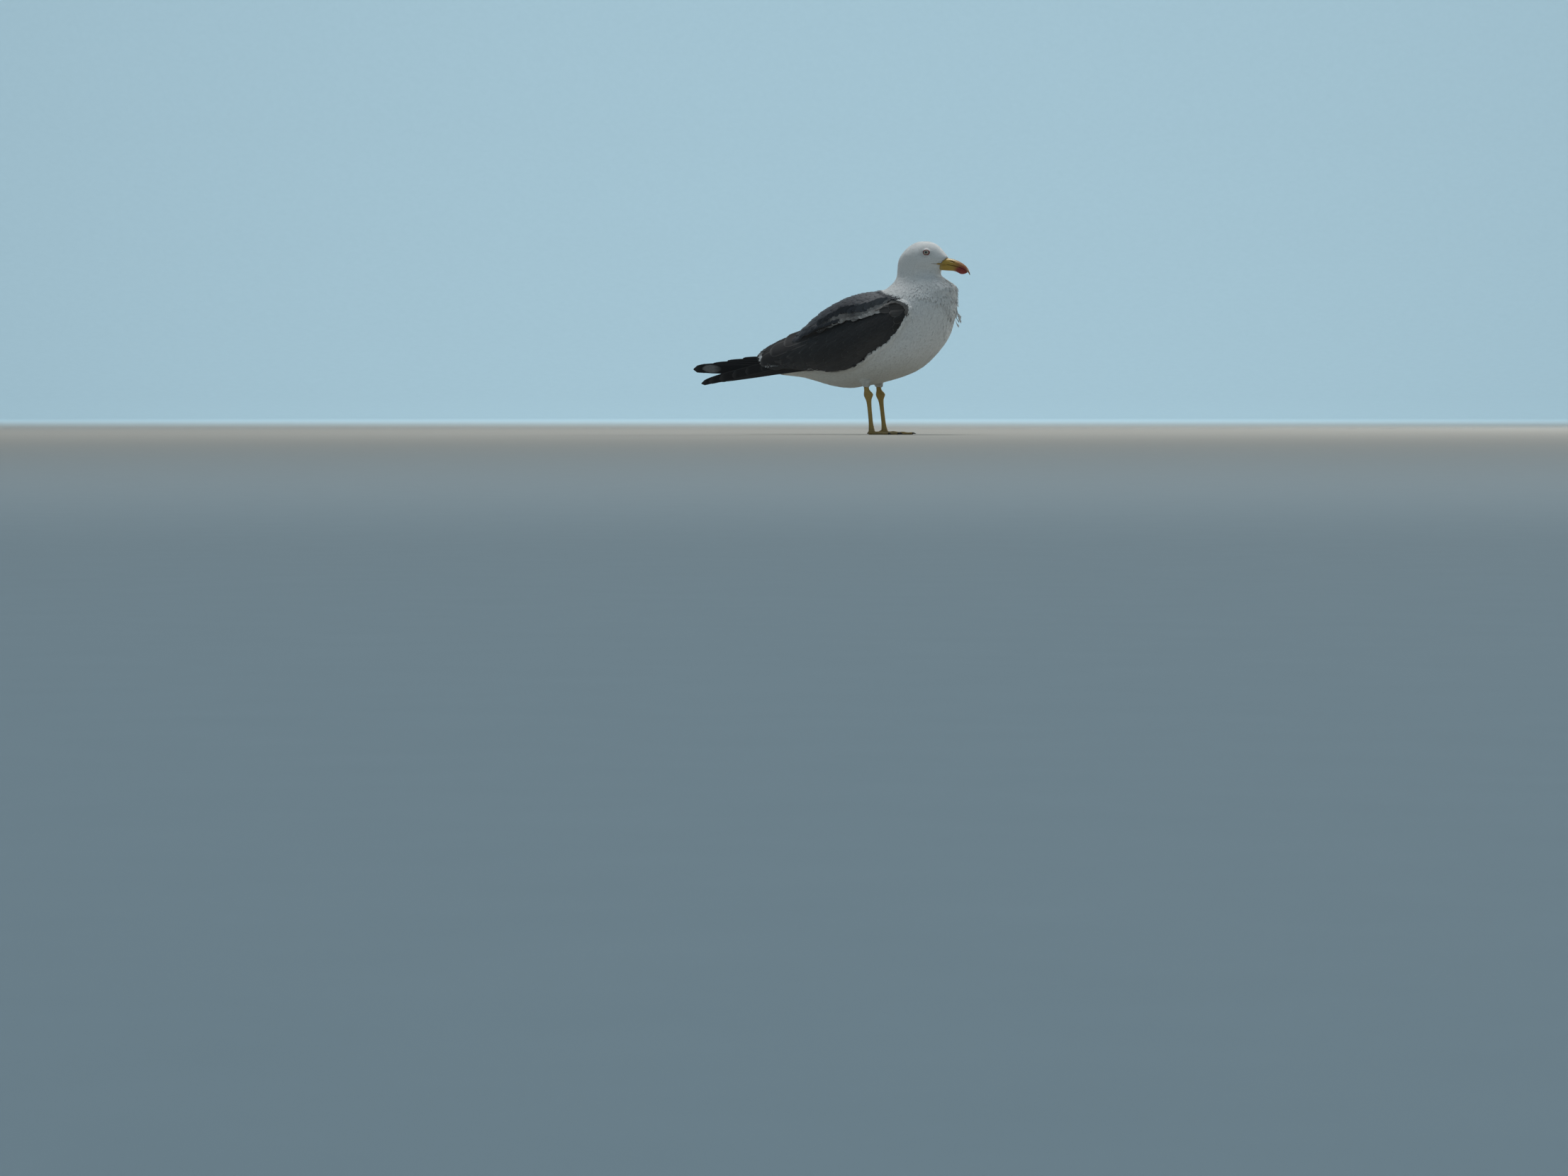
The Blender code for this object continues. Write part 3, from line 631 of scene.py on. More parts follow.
class Surface:
    """The skin as something to stand feathers on: nearest points, normals and the map."""

    def __init__(self, obj):
        mesh = obj.data
        mesh.calc_loop_triangles()
        self.corners = read(mesh.loop_triangles, "vertices", 3, np.int32)
        loops = read(mesh.loop_triangles, "loops", 3, np.int32)
        self.points = coordinates(mesh)
        self.normals = read(mesh.vertices, "normal").astype(float)
        self.uv = read(mesh.uv_layers["OFBake"].data, "uv", 2)[loops]
        self.tree = BVHTree.FromPolygons(self.points.tolist(), self.corners.tolist())

    def nearest(self, points):
        """The nearest points of the skin, their smooth normals and their places in the map."""
        found = [self.tree.find_nearest(p) for p in np.asarray(points, float).tolist()]
        at = np.array([f[0] for f in found])
        face = np.array([f[2] for f in found])
        share = self.shares(at, face)
        normals = unit((self.normals[self.corners[face]] * share[..., None]).sum(1))
        return at, normals, (self.uv[face] * share[..., None]).sum(1)

    def shares(self, at, face):
        """Barycentric shares of points on their triangles."""
        a, b, c = (self.points[self.corners[face][:, k]] for k in range(3))
        area = np.cross(b - a, c - a)
        whole = np.maximum((area * area).sum(-1), 1e-12)
        second = (np.cross(at - a, c - a) * area).sum(-1) / whole
        third = (np.cross(b - a, at - a) * area).sum(-1) / whole
        share = np.clip(np.stack([1 - second - third, second, third], -1), 0, 1)
        return share / share.sum(-1, keepdims=True)

    def scattered(self, spacing, allowed, seed):
        """Random points of the skin about spacing(points) apart, where allowed(points)."""
        rng = np.random.default_rng(seed)
        a, b, c = (self.points[self.corners[:, k]] for k in range(3))
        area = np.linalg.norm(np.cross(b - a, c - a), axis=1) / 2
        centre = (a + b + c) / 3
        weight = np.where(allowed(centre), area / spacing(centre) ** 2, 0.0)
        count = int(weight.sum() * SCATTER_TRIES)
        face = rng.choice(len(area), size=count, p=weight / weight.sum())
        u, v = rng.random(count), rng.random(count)
        over = u + v > 1
        u[over], v[over] = 1 - u[over], 1 - v[over]
        points = a[face] + (b - a)[face] * u[:, None] + (c - a)[face] * v[:, None]
        return points[thinned(points, spacing(points))]


def thinned(points, gaps):
    """Indices of points kept so that none is nearer another than its gap."""
    tree = kdtree.KDTree(len(points))
    for i, p in enumerate(points.tolist()):
        tree.insert(p, i)
    tree.balance()
    alive = np.ones(len(points), bool)
    kept = []
    for i, p in enumerate(points.tolist()):
        if alive[i]:
            kept.append(i)
            for _, j, _ in tree.find_range(p, gaps[i]):
                alive[j] = False
    return np.array(kept)


# ---- lie of the coat -----------------------------------------------------------
# The middle line of the bird from the forehead to the tail, with the way it runs.
SPINE = np.array([
    (118, 0, 296), (100, 0, 300), (82, 0, 292), (74, 0, 270), (72, 0, 250),
    (64, 0, 222), (46, 0, 192), (14, 0, 166), (-26, 0, 150), (-70, 0, 134),
    (-120, 0, 118), (-180, 0, 106), (-250, 0, 95),
], float)


def spine_way(points):
    """The way that the spine runs beside each point, as a soft average of its lengths."""
    middles = (SPINE[1:] + SPINE[:-1]) / 2
    ways = unit(SPINE[1:] - SPINE[:-1])
    away = np.linalg.norm(points[:, None, :] - middles[None], axis=-1)
    weight = 1 / (away + 4) ** 4
    return unit((ways[None] * weight[..., None]).sum(1))


def coat_way(points, normals):
    """The lie of the coat: along the spine, spreading from the bill and round the eyes."""
    x, _, z = points.T
    throat = ramp(264, 250, z) * ramp(216, 232, z) * ramp(86, 104, x)
    outwards = unit((points - (78.0, 0.0, 0.0)) * (1.0, 1.0, 0.0))
    way = blend(spine_way(points), 0.62 * outwards - (0.0, 0.0, 0.8), throat[:, None])
    face = ramp(70, 104, x) * ramp(262, 276, z)
    way = blend(way, unit(points - BILL_ROOT), face[:, None])
    for side in (RIGHT, LEFT):
        off = points - EYE_CENTRE * (1, side, 1)
        near = np.exp(-np.maximum(np.linalg.norm(off, axis=1) - 7.5, 0) / 2.2)
        way = way + unit(off) * (1.6 * near)[:, None]
    return laid(way, normals)


# ---- vanes ---------------------------------------------------------------------
def vane_grid(across, along):
    """A flat vane's points, from -1 to 1 across and 0 to 1 along, closest at the tip."""
    bm = bmesh.new()
    bmesh.ops.create_grid(bm, x_segments=across, y_segments=along, size=1.0)
    points = np.array([v.co[:2] for v in bm.verts])
    faces = np.array([[v.index for v in f.verts] for f in bm.faces])
    bm.free()
    return points[:, 0], 1 - ((1 - points[:, 1]) / 2) ** 1.5, faces


def plume(t):
    """Half width of a soft, pointed feather of the head, neck and underparts."""
    return (0.45 + 0.55 * ramp(0, 0.4, t)) * (1 - 0.80 * np.clip((t - 0.45) / 0.55, 0, 1) ** 1.7)


def covert(t):
    """Half width of a wing or back feather: broad, with a round tip."""
    rise = 0.45 + 0.55 * ramp(0, 0.5, t)
    return rise * np.sqrt(1 - 0.975 * np.clip((t - 0.6) / 0.4, 0, 1) ** 2.3)


def wisp(t):
    """Half width of a loose, downy feather, narrowest at its tip."""
    return (0.4 + 0.6 * ramp(0, 0.35, t)) * (1 - 0.85 * np.clip((t - 0.3) / 0.7, 0, 1) ** 1.3)


def marked(fringe, mirror=0.0):
    """Marks of feathers: how pale their fringe is, and 1 where there is a white mirror."""
    return np.stack(np.broadcast_arrays(fringe, mirror, 0.0), -1)


class Vanes:
    """Feathers of one piece, with what their finish and the map need at every point."""

    def __init__(self):
        self.tint, self.vane, self.mark, self.uv = [], [], [], []

    def note(self, s, t, chance, tint, mark, root):
        """Notes the points' places on their vane, its colour and marks, and its place in the map."""
        s, t, chance = np.broadcast_arrays(s, t, chance)
        self.tint.append(np.broadcast_to(tint, (*s.shape, 3)).reshape(-1, 3))
        self.vane.append(np.stack([s, t, chance], -1).reshape(-1, 3))
        self.mark.append(np.broadcast_to(mark, (*s.shape, 3)).reshape(-1, 3))
        self.uv.append((root + np.stack([s / 2, t - 0.5], -1) * PATCH).reshape(-1, 2))

    def dress(self, piece, slot, *replaced):
        mesh = piece.data
        tint, vane, mark, uv = map(np.concatenate, (self.tint, self.vane, self.mark, self.uv))
        set_attributes(mesh, tint=tint, vane=vane, mark=mark)
        corners = read(mesh.loops, "vertex_index", 1, np.int32)[:, 0]
        write(mesh.uv_layers.new(name="OFBake").data, "uv", uv[corners])
        return dressed(piece, slot, *replaced)


class Coat(Vanes):
    """Many vanes of one kind, gathered into one mesh over the skin or a wing's face."""

    def __init__(self, ground, across, along, softness):
        super().__init__()
        self.ground, self.across, self.softness = ground, across, softness
        self.s, self.t, self.faces = vane_grid(across, along)
        self.points, self.leans = [], []

    def fray(self, rng, count, amount):
        """Each barb group's own length at the tip, as a share of the vane's length."""
        columns = rng.random((count, self.across + 1)) * amount
        column = np.rint((self.s + 1) / 2 * self.across).astype(int)
        return 1 - columns[:, column] * self.t**2

    def add(self, roots, ways, lengths, widths, depths, seed, tints=None, shape=covert,
            fray=0.05, lift=(0.15, 1.0), camber=0.10, kick=0.0, wander=0.0, mark=marked(0.0), tone=0.04):
        """Vanes from their roots along their ways, lying on the ground, tips outermost.

        shape(t) is the half width along the vane, lift the height of root and tip as
        shares of the coat's depth, camber the fall to the edges and kick a last rise.
        """
        rng = np.random.default_rng(seed)
        count = len(roots)
        at, normals, uv = self.ground.nearest(roots)
        turn = rng.normal(0, wander, count)[:, None]
        ways = laid(ways, normals)
        ways = unit(ways * np.cos(turn) + np.cross(normals, ways) * np.sin(turn))
        sides = np.cross(ways, normals)
        s, t = self.s[None, :], self.t[None, :]
        reach = t * self.fray(rng, count, fray)
        half = shape(self.t)[None, :] * widths[:, None] / 2
        flat = (
            at[:, None, :]
            + ways[:, None, :] * (reach * lengths[:, None])[..., None]
            + sides[:, None, :] * (s * half)[..., None]
        )
        on_ground, lean, _ = self.ground.nearest(flat.reshape(-1, 3))
        lean = lean.reshape(flat.shape)
        low, high = lift
        height = depths[:, None] * (low + (high - low) * t**0.8)
        height = height + rng.normal(0, 0.035, count)[:, None] * depths[:, None] * t
        height = height - camber * widths[:, None] * s * s * (0.3 + 0.7 * t)
        height = np.maximum(height + kick * lengths[:, None] * t**3, 0.05)
        self.points.append(on_ground.reshape(flat.shape) + lean * height[..., None])
        self.leans.append(lean)
        if tints is None:
            tints = plumage_colour(at + ways * (lengths * 0.6)[:, None])
        tints = tints * (1 + rng.normal(0, tone, count)[:, None])
        marks = np.broadcast_to(mark, (count, 3))
        self.note(s, t, rng.random(count)[:, None], tints[:, None], marks[:, None], uv[:, None])

    def add_one(self, root, tip, width, seed, tint, **looks):
        """One feather from its root to its tip, both seen from the side."""
        way = np.array(tip, float) - root
        self.add(side_on(*np.array(root, float)[:, None]), side_on(*way[:, None]),
                 np.array([np.linalg.norm(way)]), np.array([width]), np.ones(1),
                 seed, np.array([tint]), **looks)

    def build(self, name, material, slot):
        """The gathered vanes as one piece that rides on the bird."""
        points = np.concatenate(self.points)
        count, each = points.shape[:2]
        faces = (self.faces[None] + (np.arange(count) * each)[:, None, None]).reshape(-1, 4)
        mesh = bpy.data.meshes.new(name)
        mesh.from_pydata(world(points.reshape(-1, 3)), [], faces)
        mesh.materials.append(material)
        mesh.shade_smooth()
        own = read(mesh.vertices, "normal")
        lean = np.concatenate(self.leans).reshape(-1, 3)
        agree = ramp(0.15, 0.75, (own * lean).sum(-1, keepdims=True))
        mesh.normals_split_custom_set_from_vertices(unit(blend(own, lean, self.softness * agree)))
        return self.dress(linked(name, mesh), slot)


# ---- finishes ------------------------------------------------------------------
FULL_TURN = 6.28318  # turns a count of barbs into the angle of a wave


def plumage_finish(name, barbs=26.0, contrast=0.10):
    """White feather: its own tint, with painted shade that darkens it at the root, and barbs out from the
    shaft.
    """
    f = Finish(name)
    tint = f.attribute("tint")[0]
    _, across, along, chance = f.attribute("vane")
    slant = along * barbs - abs(across) * (barbs * 0.16)
    fine = f.noise(f.joined(across * 2.2, slant, chance * 40.0), 1.0, 3.0, 0.6)
    shade = (1 - contrast) + fine * (contrast * 1.2)
    # Painted shade: the feather darkens towards its root, where it lies under the others.
    root = 0.84 + along.step(0.0, 0.7) * 0.16
    colour = f.shaded(tint, shade * root)
    height = (slant * FULL_TURN).wave() * 0.4 + fine
    f.set(Base_Color=colour, Roughness=0.8, Normal=f.bump(height, 0.25, 0.10))
    return f.set(Sheen_Weight=0.25, Sheen_Roughness=0.5, Specular_IOR_Level=0.25)


def wing_finish(name):
    """Dark feather: barbs slanting from a shaft, a paler fringe and, on one, a white mirror."""
    f = Finish(name)
    tint = f.attribute("tint")[0]
    _, across, along, chance = f.attribute("vane")
    _, fringe, mirror, _ = f.attribute("mark")
    side = abs(across)
    slant = along * 34.0 - side * 5.0
    fine = f.noise(f.joined(across * 1.6, slant, chance * 40.0), 1.0, 3.0, 0.6)
    broad = f.noise(f.joined(across * 1.2, along * 3.0, chance * 17.0), 1.0, 2.0)
    level = 0.62 + fine * 0.34 + broad * 0.42
    shaft = side.step(0.07, 0.02) * along.step(1.0, 0.7)
    level = level * (1 - shaft * 0.35)
    colour = f.shaded(tint, level)
    edge = side.step(0.78, 1.0).most(along.step(0.93, 1.0))
    colour = f.mix(edge * fringe * (0.4 + fine * 0.6), colour, (0.33, 0.31, 0.295))
    length_off, width_off = (along - 0.850) / 0.080, across / 0.86
    oval = (length_off * length_off + width_off * width_off) ** 0.5 + (fine - 0.5) * 0.16
    streak = f.noise(f.joined(across * 4.0, along * 40.0, 3.0), 1.0, 3.0, 0.65)
    patch = oval.step(1.06, 0.82) * (streak + 0.2).least(1.0) * along.step(0.755, 0.85)
    colour = f.mix(patch * mirror, colour, (0.25, 0.25, 0.245))
    height = (slant * FULL_TURN).wave() * 0.3 + fine - shaft * 0.8
    f.set(Base_Color=colour, Roughness=0.62, Normal=f.bump(height, 0.3, 0.15))
    return f.set(Sheen_Weight=0.12, Sheen_Roughness=0.4, Specular_IOR_Level=0.3)


def horn_finish():
    """The bill: waxy yellow, redder round the keel's angle, paler and worn at the tip."""
    f = Finish("bill_horn")
    vector, x, _, z = f.place()
    grain = f.noise(f.stretched(vector, (500.0, 900.0, 900.0)), 1.0, 4.0, 0.6)
    cloud = f.noise(vector, 160.0, 3.0)
    yellow = f.mix(cloud, (0.52, 0.34, 0.045), (0.44, 0.27, 0.04))
    yellow = f.mix(grain * 0.35, yellow, (0.40, 0.22, 0.04))
    root_x, tip_x = (float(world((place, 0, 0))[0]) for place in (118.0, 161.5))
    spot_x, _, spot_z = map(float, world(GONYS_SPOT))
    hole_x, _, hole_z = map(float, world(NOSTRIL))
    along = (x - spot_x) / 0.0105
    high = (z - spot_z) / 0.0082
    near = (along * along + high * high) ** 0.5 + (cloud - 0.5) * 0.5
    warm = (x - spot_x).step(-0.020, 0.003)
    colour = f.mix(warm * 0.85, yellow, (0.30, 0.10, 0.035))
    red = near.step(1.5, 0.7)
    colour = f.mix(red * 0.95, colour, (0.27, 0.024, 0.020))
    tip = (x - tip_x).step(0.0, 0.004)
    colour = f.mix(tip * 0.45, colour, (0.46, 0.34, 0.22))
    base = (root_x - x).step(-0.006, 0.002)
    colour = f.mix(base * 0.35, colour, (0.46, 0.40, 0.22))
    height = grain * 0.5 + cloud
    # Painted shade: the nostril's slit is coloured near black, as the dark inside of the hole.
    away = (x - hole_x) / 0.0038
    drop = (z - hole_z + (x - hole_x) * 0.22) / 0.00075
    slit = ((away * away + drop * drop) ** 0.5).step(1.2, 0.7)
    colour = f.mix(slit * 0.85, colour, (0.05, 0.03, 0.015))
    f.set(Base_Color=colour, Roughness=0.34 + grain * 0.16, Normal=f.bump(height, 0.25, 0.25))
    return f.set(Coat_Weight=0.15, Coat_Roughness=0.25)


def gape_shade_finish():
    # Painted shade: the dark brown of the strand that lies in the mouth's crease.
    f = Finish("gape_crease_shade")
    vector = f.place()[0]
    mottle = f.noise(vector, 700.0, 3.0)
    colour = f.mix(mottle, (0.16, 0.07, 0.03), (0.07, 0.035, 0.025))
    return f.set(Base_Color=colour, Roughness=0.5, Normal=f.bump(mottle, 0.3, 0.2))


def eye_finish():
    """A pale iris with fine spokes round a dark pupil, under a wet surface."""
    f = Finish("eyeball")
    _, angle, turn_x, turn_y = f.attribute("look")
    spokes = f.noise(f.joined(turn_x * 9.0, turn_y * 9.0, angle * 2.0), 1.0, 4.0, 0.7)
    fleck = f.noise(f.joined(turn_x * angle * 30.0, turn_y * angle * 30.0, 0.3), 1.0, 3.0)
    iris = f.mix(spokes, (0.30, 0.30, 0.26), (0.52, 0.51, 0.43))
    iris = f.mix(fleck.step(0.56, 0.75) * 0.5, iris, (0.30, 0.26, 0.17))
    rim = angle.step(0.60, 0.72)
    colour = f.mix(rim, iris, (0.10, 0.075, 0.05))
    inner = angle.step(0.40, 0.29)
    colour = f.mix(inner * 0.5, colour, (0.35, 0.30, 0.15))
    pupil = angle.step(0.30, 0.275)
    colour = f.mix(pupil, colour, (0.004, 0.004, 0.004))
    f.set(Base_Color=colour, Roughness=0.12)
    return f.set(Coat_Weight=1.0, Coat_Roughness=0.02, Specular_IOR_Level=0.5)


def lid_finish():
    """The ring round the eye: red, rough with small warts."""
    f = Finish("eye_ring")
    vector = f.place()[0]
    warts = f.cells(vector, 1500.0, "F1")
    mottle = f.noise(vector, 800.0, 3.0)
    colour = f.mix(mottle, (0.32, 0.032, 0.02), (0.20, 0.016, 0.012))
    colour = f.mix(warts.step(0.35, 0.6) * 0.5, colour, (0.10, 0.012, 0.01))
    return f.set(Base_Color=colour, Roughness=0.45, Normal=f.bump(1 - warts, 0.4, 0.2))


def leg_finish():
    """Leg skin: yellow scutes down the front and toes, small scales elsewhere."""
    f = Finish("leg_skin")
    vector, _, _, z = f.place()
    band = (z * 370.0 + f.noise(vector, 220.0) * 0.9).fraction()
    groove = band.step(0.16, 0.0) + band.step(0.84, 1.0)
    seam = f.cells(vector, 620.0, "DISTANCE_TO_EDGE").step(0.16, 0.02)
    on_toes = z.step(0.013, 0.009)
    line = groove * (1 - on_toes) * 0.7 + seam * (0.35 + on_toes * 0.5)
    cloud = f.noise(vector, 90.0, 3.0)
    skin = f.mix(cloud, (0.54, 0.35, 0.085), (0.42, 0.28, 0.09))
    colour = f.mix(line.least(1.0) * 0.55, skin, (0.24, 0.16, 0.06))
    # Darker blotches, and darker towards the floor below 2 cm.
    blotches_darker_low = (f.noise(vector, 260.0, 4.0, 0.65) - 0.5) * 1.4 + z.step(0.02, 0.0) * 0.35
    colour = f.mix(blotches_darker_low.most(0.0).least(0.6), colour, (0.23, 0.17, 0.09))
    height = 1 - line.least(1.0) + cloud * 0.3
    return f.set(Base_Color=colour, Roughness=0.5 + cloud * 0.15, Normal=f.bump(height, 0.5, 0.35))


def claw_finish():
    f = Finish("claw_horn")
    vector = f.place()[0]
    grain = f.noise(f.stretched(vector, (300.0, 900.0, 900.0)), 1.0, 3.0)
    colour = f.mix(grain, (0.016, 0.013, 0.012), (0.045, 0.038, 0.032))
    return f.set(Base_Color=colour, Roughness=0.28 + grain * 0.15, Normal=f.bump(grain, 0.2, 0.2))


def skin_finish():
    """What shows between the feathers: their own colour, soft and a little darker."""
    f = Finish("skin_down")
    tint = f.attribute("tint")[0]
    vector = f.place()[0]
    fluff = f.noise(vector, 900.0, 3.0, 0.6)
    colour = f.shaded(tint, 0.85 + fluff * 0.2)
    return f.set(Base_Color=colour, Roughness=0.95, Normal=f.bump(fluff, 0.5, 0.4))


# ---- white coat ----------------------------------------------------------------
# Where the bill leaves the feathers: height and place, from the chin to the ridge.
BILL_EDGE = ((266, 117), (271, 117.5), (276, 118.5), (279.5, 116), (281.2, 115), (283, 117.5),
             (286, 122), (289, 128), (296, 131))


def clear_of_face(points):
    """True off the eyes and the bill, where no feather grows."""
    bill = points[:, 0] > follow(BILL_EDGE, points[:, 2])[:, 0]
    return (eye_reach(points) > 0.97) & ~(bill & (points[:, 2] > 270.5))


def coat_spacing(points):
    """Distance between neighbouring white feathers, in millimetres."""
    x, _, z = points.T
    head = ramp(262, 284, z)
    spacing = blend(2.05, 1.5, ramp(200, 262, z))
    spacing = blend(spacing, 1.0, head)
    return blend(spacing, 0.8, ramp(84, 116, x) * head)


def white_ground(points):
    """True where white feathers grow: not on the back, wings and face, nor under the wings' ends."""
    x, y, z = points.T
    hidden = (x < -100) & (z > 106) & (np.abs(y) > 15)
    return (back_share(points) < 0.5) & ~on_wing(points) & clear_of_face(points) & ~hidden


def beside_wing_way(points, normals, ways):
    """The lie of the feathers beside the folded wing: along its edge, and straight down ahead of it."""
    x, y, z = points.T
    flank = ramp(20, 30, np.abs(y))
    near = ramp(-16, -3, wing_reach(points)) * flank * ramp(96, 88, x) * ramp(212, 200, z)
    way = blend(ways, side_on(*edge_ways(x).T), 0.8 * near[:, None])
    ahead = ramp(78, 83, x) * ramp(104, 92, x) * flank * ramp(244, 226, z) * ramp(188, 200, z)
    return laid(blend(way, np.array((0.02, 0.0, -1.0)), 0.9 * ahead[:, None]), normals)


def reaches_wing(points):
    """True where a tip would lie over the wing's face."""
    return on_wing(points) & (wing_reach(points) >= 2.0)


def build_white_coat(surface, material):
    """The white feathers over a layer of down, in three pieces by their size."""
    roots = surface.scattered(coat_spacing, white_ground, seed=3)
    at, normals, _ = surface.nearest(roots)
    ways = beside_wing_way(at, normals, coat_way(at, normals))
    gaps = coat_spacing(at)
    rng = np.random.default_rng(5)
    lengths = gaps * 5.2 * (1 + rng.normal(0, 0.14, len(gaps)))
    for _ in range(2):
        lengths = np.where(reaches_wing(at + ways * lengths[:, None]), lengths * 0.55, lengths)
    free = ~reaches_wing(at + ways * lengths[:, None])
    at, ways, gaps, lengths = at[free], ways[free], gaps[free], lengths[free]
    widths = gaps * 1.65 * (1 + rng.normal(0, 0.12, len(gaps)))
    depths = coat_loft(at)
    kinds = [("head", gaps < 1.3, 4), ("neck", (gaps >= 1.3) & (gaps < 1.9), 4), ("body", gaps >= 1.9, 5)]
    for name, chosen, along in kinds:
        place, way, length, width, depth = (v[chosen] for v in (at, ways, lengths, widths, depths))
        down = Coat(surface, 2, 3, softness=0.9)
        down.add(place, way, length * 0.9, width * 1.7, depth, seed=9,
                 fray=0.2, shape=plume, lift=(0.3, 0.74), wander=0.3, camber=0.0, tone=0.01)
        down.build("down_" + name, material, "white_plumage")
        coat = Coat(surface, 2, along, softness=0.85)
        coat.add(place, way, length, width, depth, seed=7,
                 fray=0.25, shape=plume, lift=(0.74, 1.0), wander=0.13, camber=0.015, tone=0.02)
        coat.build("coat_" + name, material, "white_plumage")


# Groups of loose wisps: middle, how many, how far they spread, length, rise of the tips, lift.
# The one with the strongest rise is the small tuft that hangs from the breast.
WISPS = (
    ((108, 0, 259), 30, 24, 11, 0.06, 0.10), ((116, 0, 252), 44, 26, 12, 0.08, 0.14),
    ((122, 0, 244), 60, 30, 13, 0.10, 0.18), ((130, 0, 237), 60, 34, 13, 0.14, 0.22),
    ((134, 0, 229), 60, 34, 13, 0.14, 0.20), ((134, 0, 206), 20, 16, 13, 0.14, 0.16),
    ((134.5, 12, 211), 12, 5, 19, 0.95, 0.25), ((133, 0, 214), 30, 22, 12, 0.12, 0.16),
)


def build_ruffles(surface, material):
    """Loose wisps that stand out from the throat and breast."""
    rng = np.random.default_rng(31)
    coat = Coat(surface, 3, 7, softness=0.85)
    for k, (middle, count, spread, length, kick, up) in enumerate(WISPS):
        points = np.array(middle, float) + rng.normal(0, 1, (count, 3)) * (3.0, spread * 0.6, 3.5)
        at, normals, _ = surface.nearest(points)
        ways = coat_way(at, normals) + rng.normal(0, 0.16, (count, 3))
        sizes = length * (1 + rng.normal(0, 0.2, count))
        slim = 0.19 if kick < 0.5 else 0.11
        coat.add(at, ways, sizes, sizes * slim, coat_loft(at) * 1.05, seed=60 + k, shape=wisp,
                 kick=kick * 0.35, fray=0.25, wander=0.16, camber=0.02, tone=0.02, lift=(0.6, 1.0 + up * 0.7))
    coat.build("breast_wisps", material, "white_plumage")


# ---- back ----------------------------------------------------------------------
def back_spacing(points):
    """Distance between neighbouring feathers of the back, larger towards the tail."""
    return blend(3.6, 7.4, ramp(70, -90, points[:, 0]))


def back_ground(points):
    over = above_line(points, MANTLE_LINE) > 5.0
    return over & (above_line(points, NECK_LINE) < -4.5) & (points[:, 0] > REAR_END) & (points[:, 0] < 58)


def back_way(points, normals):
    """The lie of the back: rearwards, and outwards and down behind the neck."""
    side = np.sign(points[:, 1])[:, None] * np.array([0.0, 1.0, 0.0])
    way = np.array([-0.94, 0.0, -0.30]) + side * 0.10 * ramp(60, 20, points[:, 0])[:, None]
    neck = ramp(20, 70, points[:, 0])[:, None]
    return laid(way + neck * (side * 0.35 + np.array([0.0, 0.0, -0.25])), normals)


def build_back(surface, material):
    roots = surface.scattered(back_spacing, back_ground, seed=11)
    at, normals, _ = surface.nearest(roots)
    gaps = back_spacing(at)
    rng = np.random.default_rng(13)
    lengths = gaps * 3.6 * (1 + rng.normal(0, 0.10, len(gaps)))
    widths = gaps * 1.9 * (1 + rng.normal(0, 0.08, len(gaps)))
    over = above_line(at, MANTLE_LINE)
    widths = widths * blend(0.62, 1.0, ramp(3, 14, over))
    # Painted shade: the back's lowest feathers, just above the wing, are darkened by up to a quarter in the
    # tints below.
    low = np.exp(-np.maximum(over, 0) / 9.0)[:, None]
    coat = Coat(surface, 6, 8, softness=0.5)
    coat.add(at, back_way(at, normals), lengths, widths, coat_depth(at), seed=17,
             tints=slate_and_painted_light(at) * (1 - 0.25 * low), mark=marked(0.10 + 0.15 * rng.random(len(at))),
             wander=0.10, fray=0.04)
    coat.build("coat_back", material, "slate_plumage")


# ---- wings ---------------------------------------------------------------------
class WingFace:
    """A wing's outer face as a height over the bird's middle plane, past its edges too."""

    STEP = 3.0  # between the heights of the grid
    LOW = np.array([-276.0, 72.0])  # the grid's rearmost and lowest corner
    SIZE = (126, 56)

    def __init__(self, surface, side):
        self.surface, self.side = surface, side
        mesh = frame["nodes"]["wing_" + SIDE_NAMES[side]].data
        tree = BVHTree.FromPolygons(coordinates(mesh).tolist(), [list(p.vertices) for p in mesh.polygons])
        grid = np.full(self.SIZE, np.nan)
        for i in range(self.SIZE[0]):
            for j in range(self.SIZE[1]):
                x, z = self.LOW + np.array([i, j]) * self.STEP
                at, normal, _, _ = tree.ray_cast((x, side * 200.0, z), (0.0, -side, 0.0))
                if at is not None and abs(normal.y) > 0.6:
                    grid[i, j] = at.y * side
        self.height = self.carried_on(grid)

    def carried_on(self, grid):
        """The known heights spread into the unknown ones, then smoothed."""
        known = ~np.isnan(grid)
        height = np.where(known, grid, 0.0)
        weight = known.astype(float)
        for _ in range(70):
            total, share = self.around(height * (weight > 0)), self.around((weight > 0) * 1.0)
            fill = (weight == 0) & (share > 0)
            height = np.where(fill, total / np.maximum(share, 1e-9), height)
            weight = np.where(fill, 1.0, weight)
        for _ in range(3):
            height = self.around(height) / self.around(np.ones_like(height))
        return height

    def around(self, values):
        """Sums over each cell and its eight neighbours."""
        padded = np.pad(values, 1)
        rows = padded[:-2] + padded[1:-1] + padded[2:]
        return rows[:, :-2] + rows[:, 1:-1] + rows[:, 2:]

    def level(self, x, z):
        place = (np.stack([x, z], -1) - self.LOW) / self.STEP
        place = np.clip(place, 0, np.array(self.SIZE) - 1.001)
        cell = place.astype(int)
        part = place - cell
        i, j = cell[..., 0], cell[..., 1]
        u, v = part[..., 0], part[..., 1]
        h = self.height
        low = h[i, j] * (1 - u) + h[i + 1, j] * u
        high = h[i, j + 1] * (1 - u) + h[i + 1, j + 1] * u
        return low * (1 - v) + high * v

    def nearest(self, points):
        """Points dropped sideways onto the face, its normals and the skin's map there."""
        x, _, z = points.T
        at = side_on(x, z, self.side * self.level(x, z))
        step = 4.0
        along = (self.level(x + step, z) - self.level(x - step, z)) / (2 * step)
        up = (self.level(x, z + step) - self.level(x, z - step)) / (2 * step)
        return at, unit(side_on(-along, -up, self.side)), self.surface.nearest(at)[2]


WING_WAY = np.array([-0.905, -0.425])  # the run of the folded wing, forward and upward parts


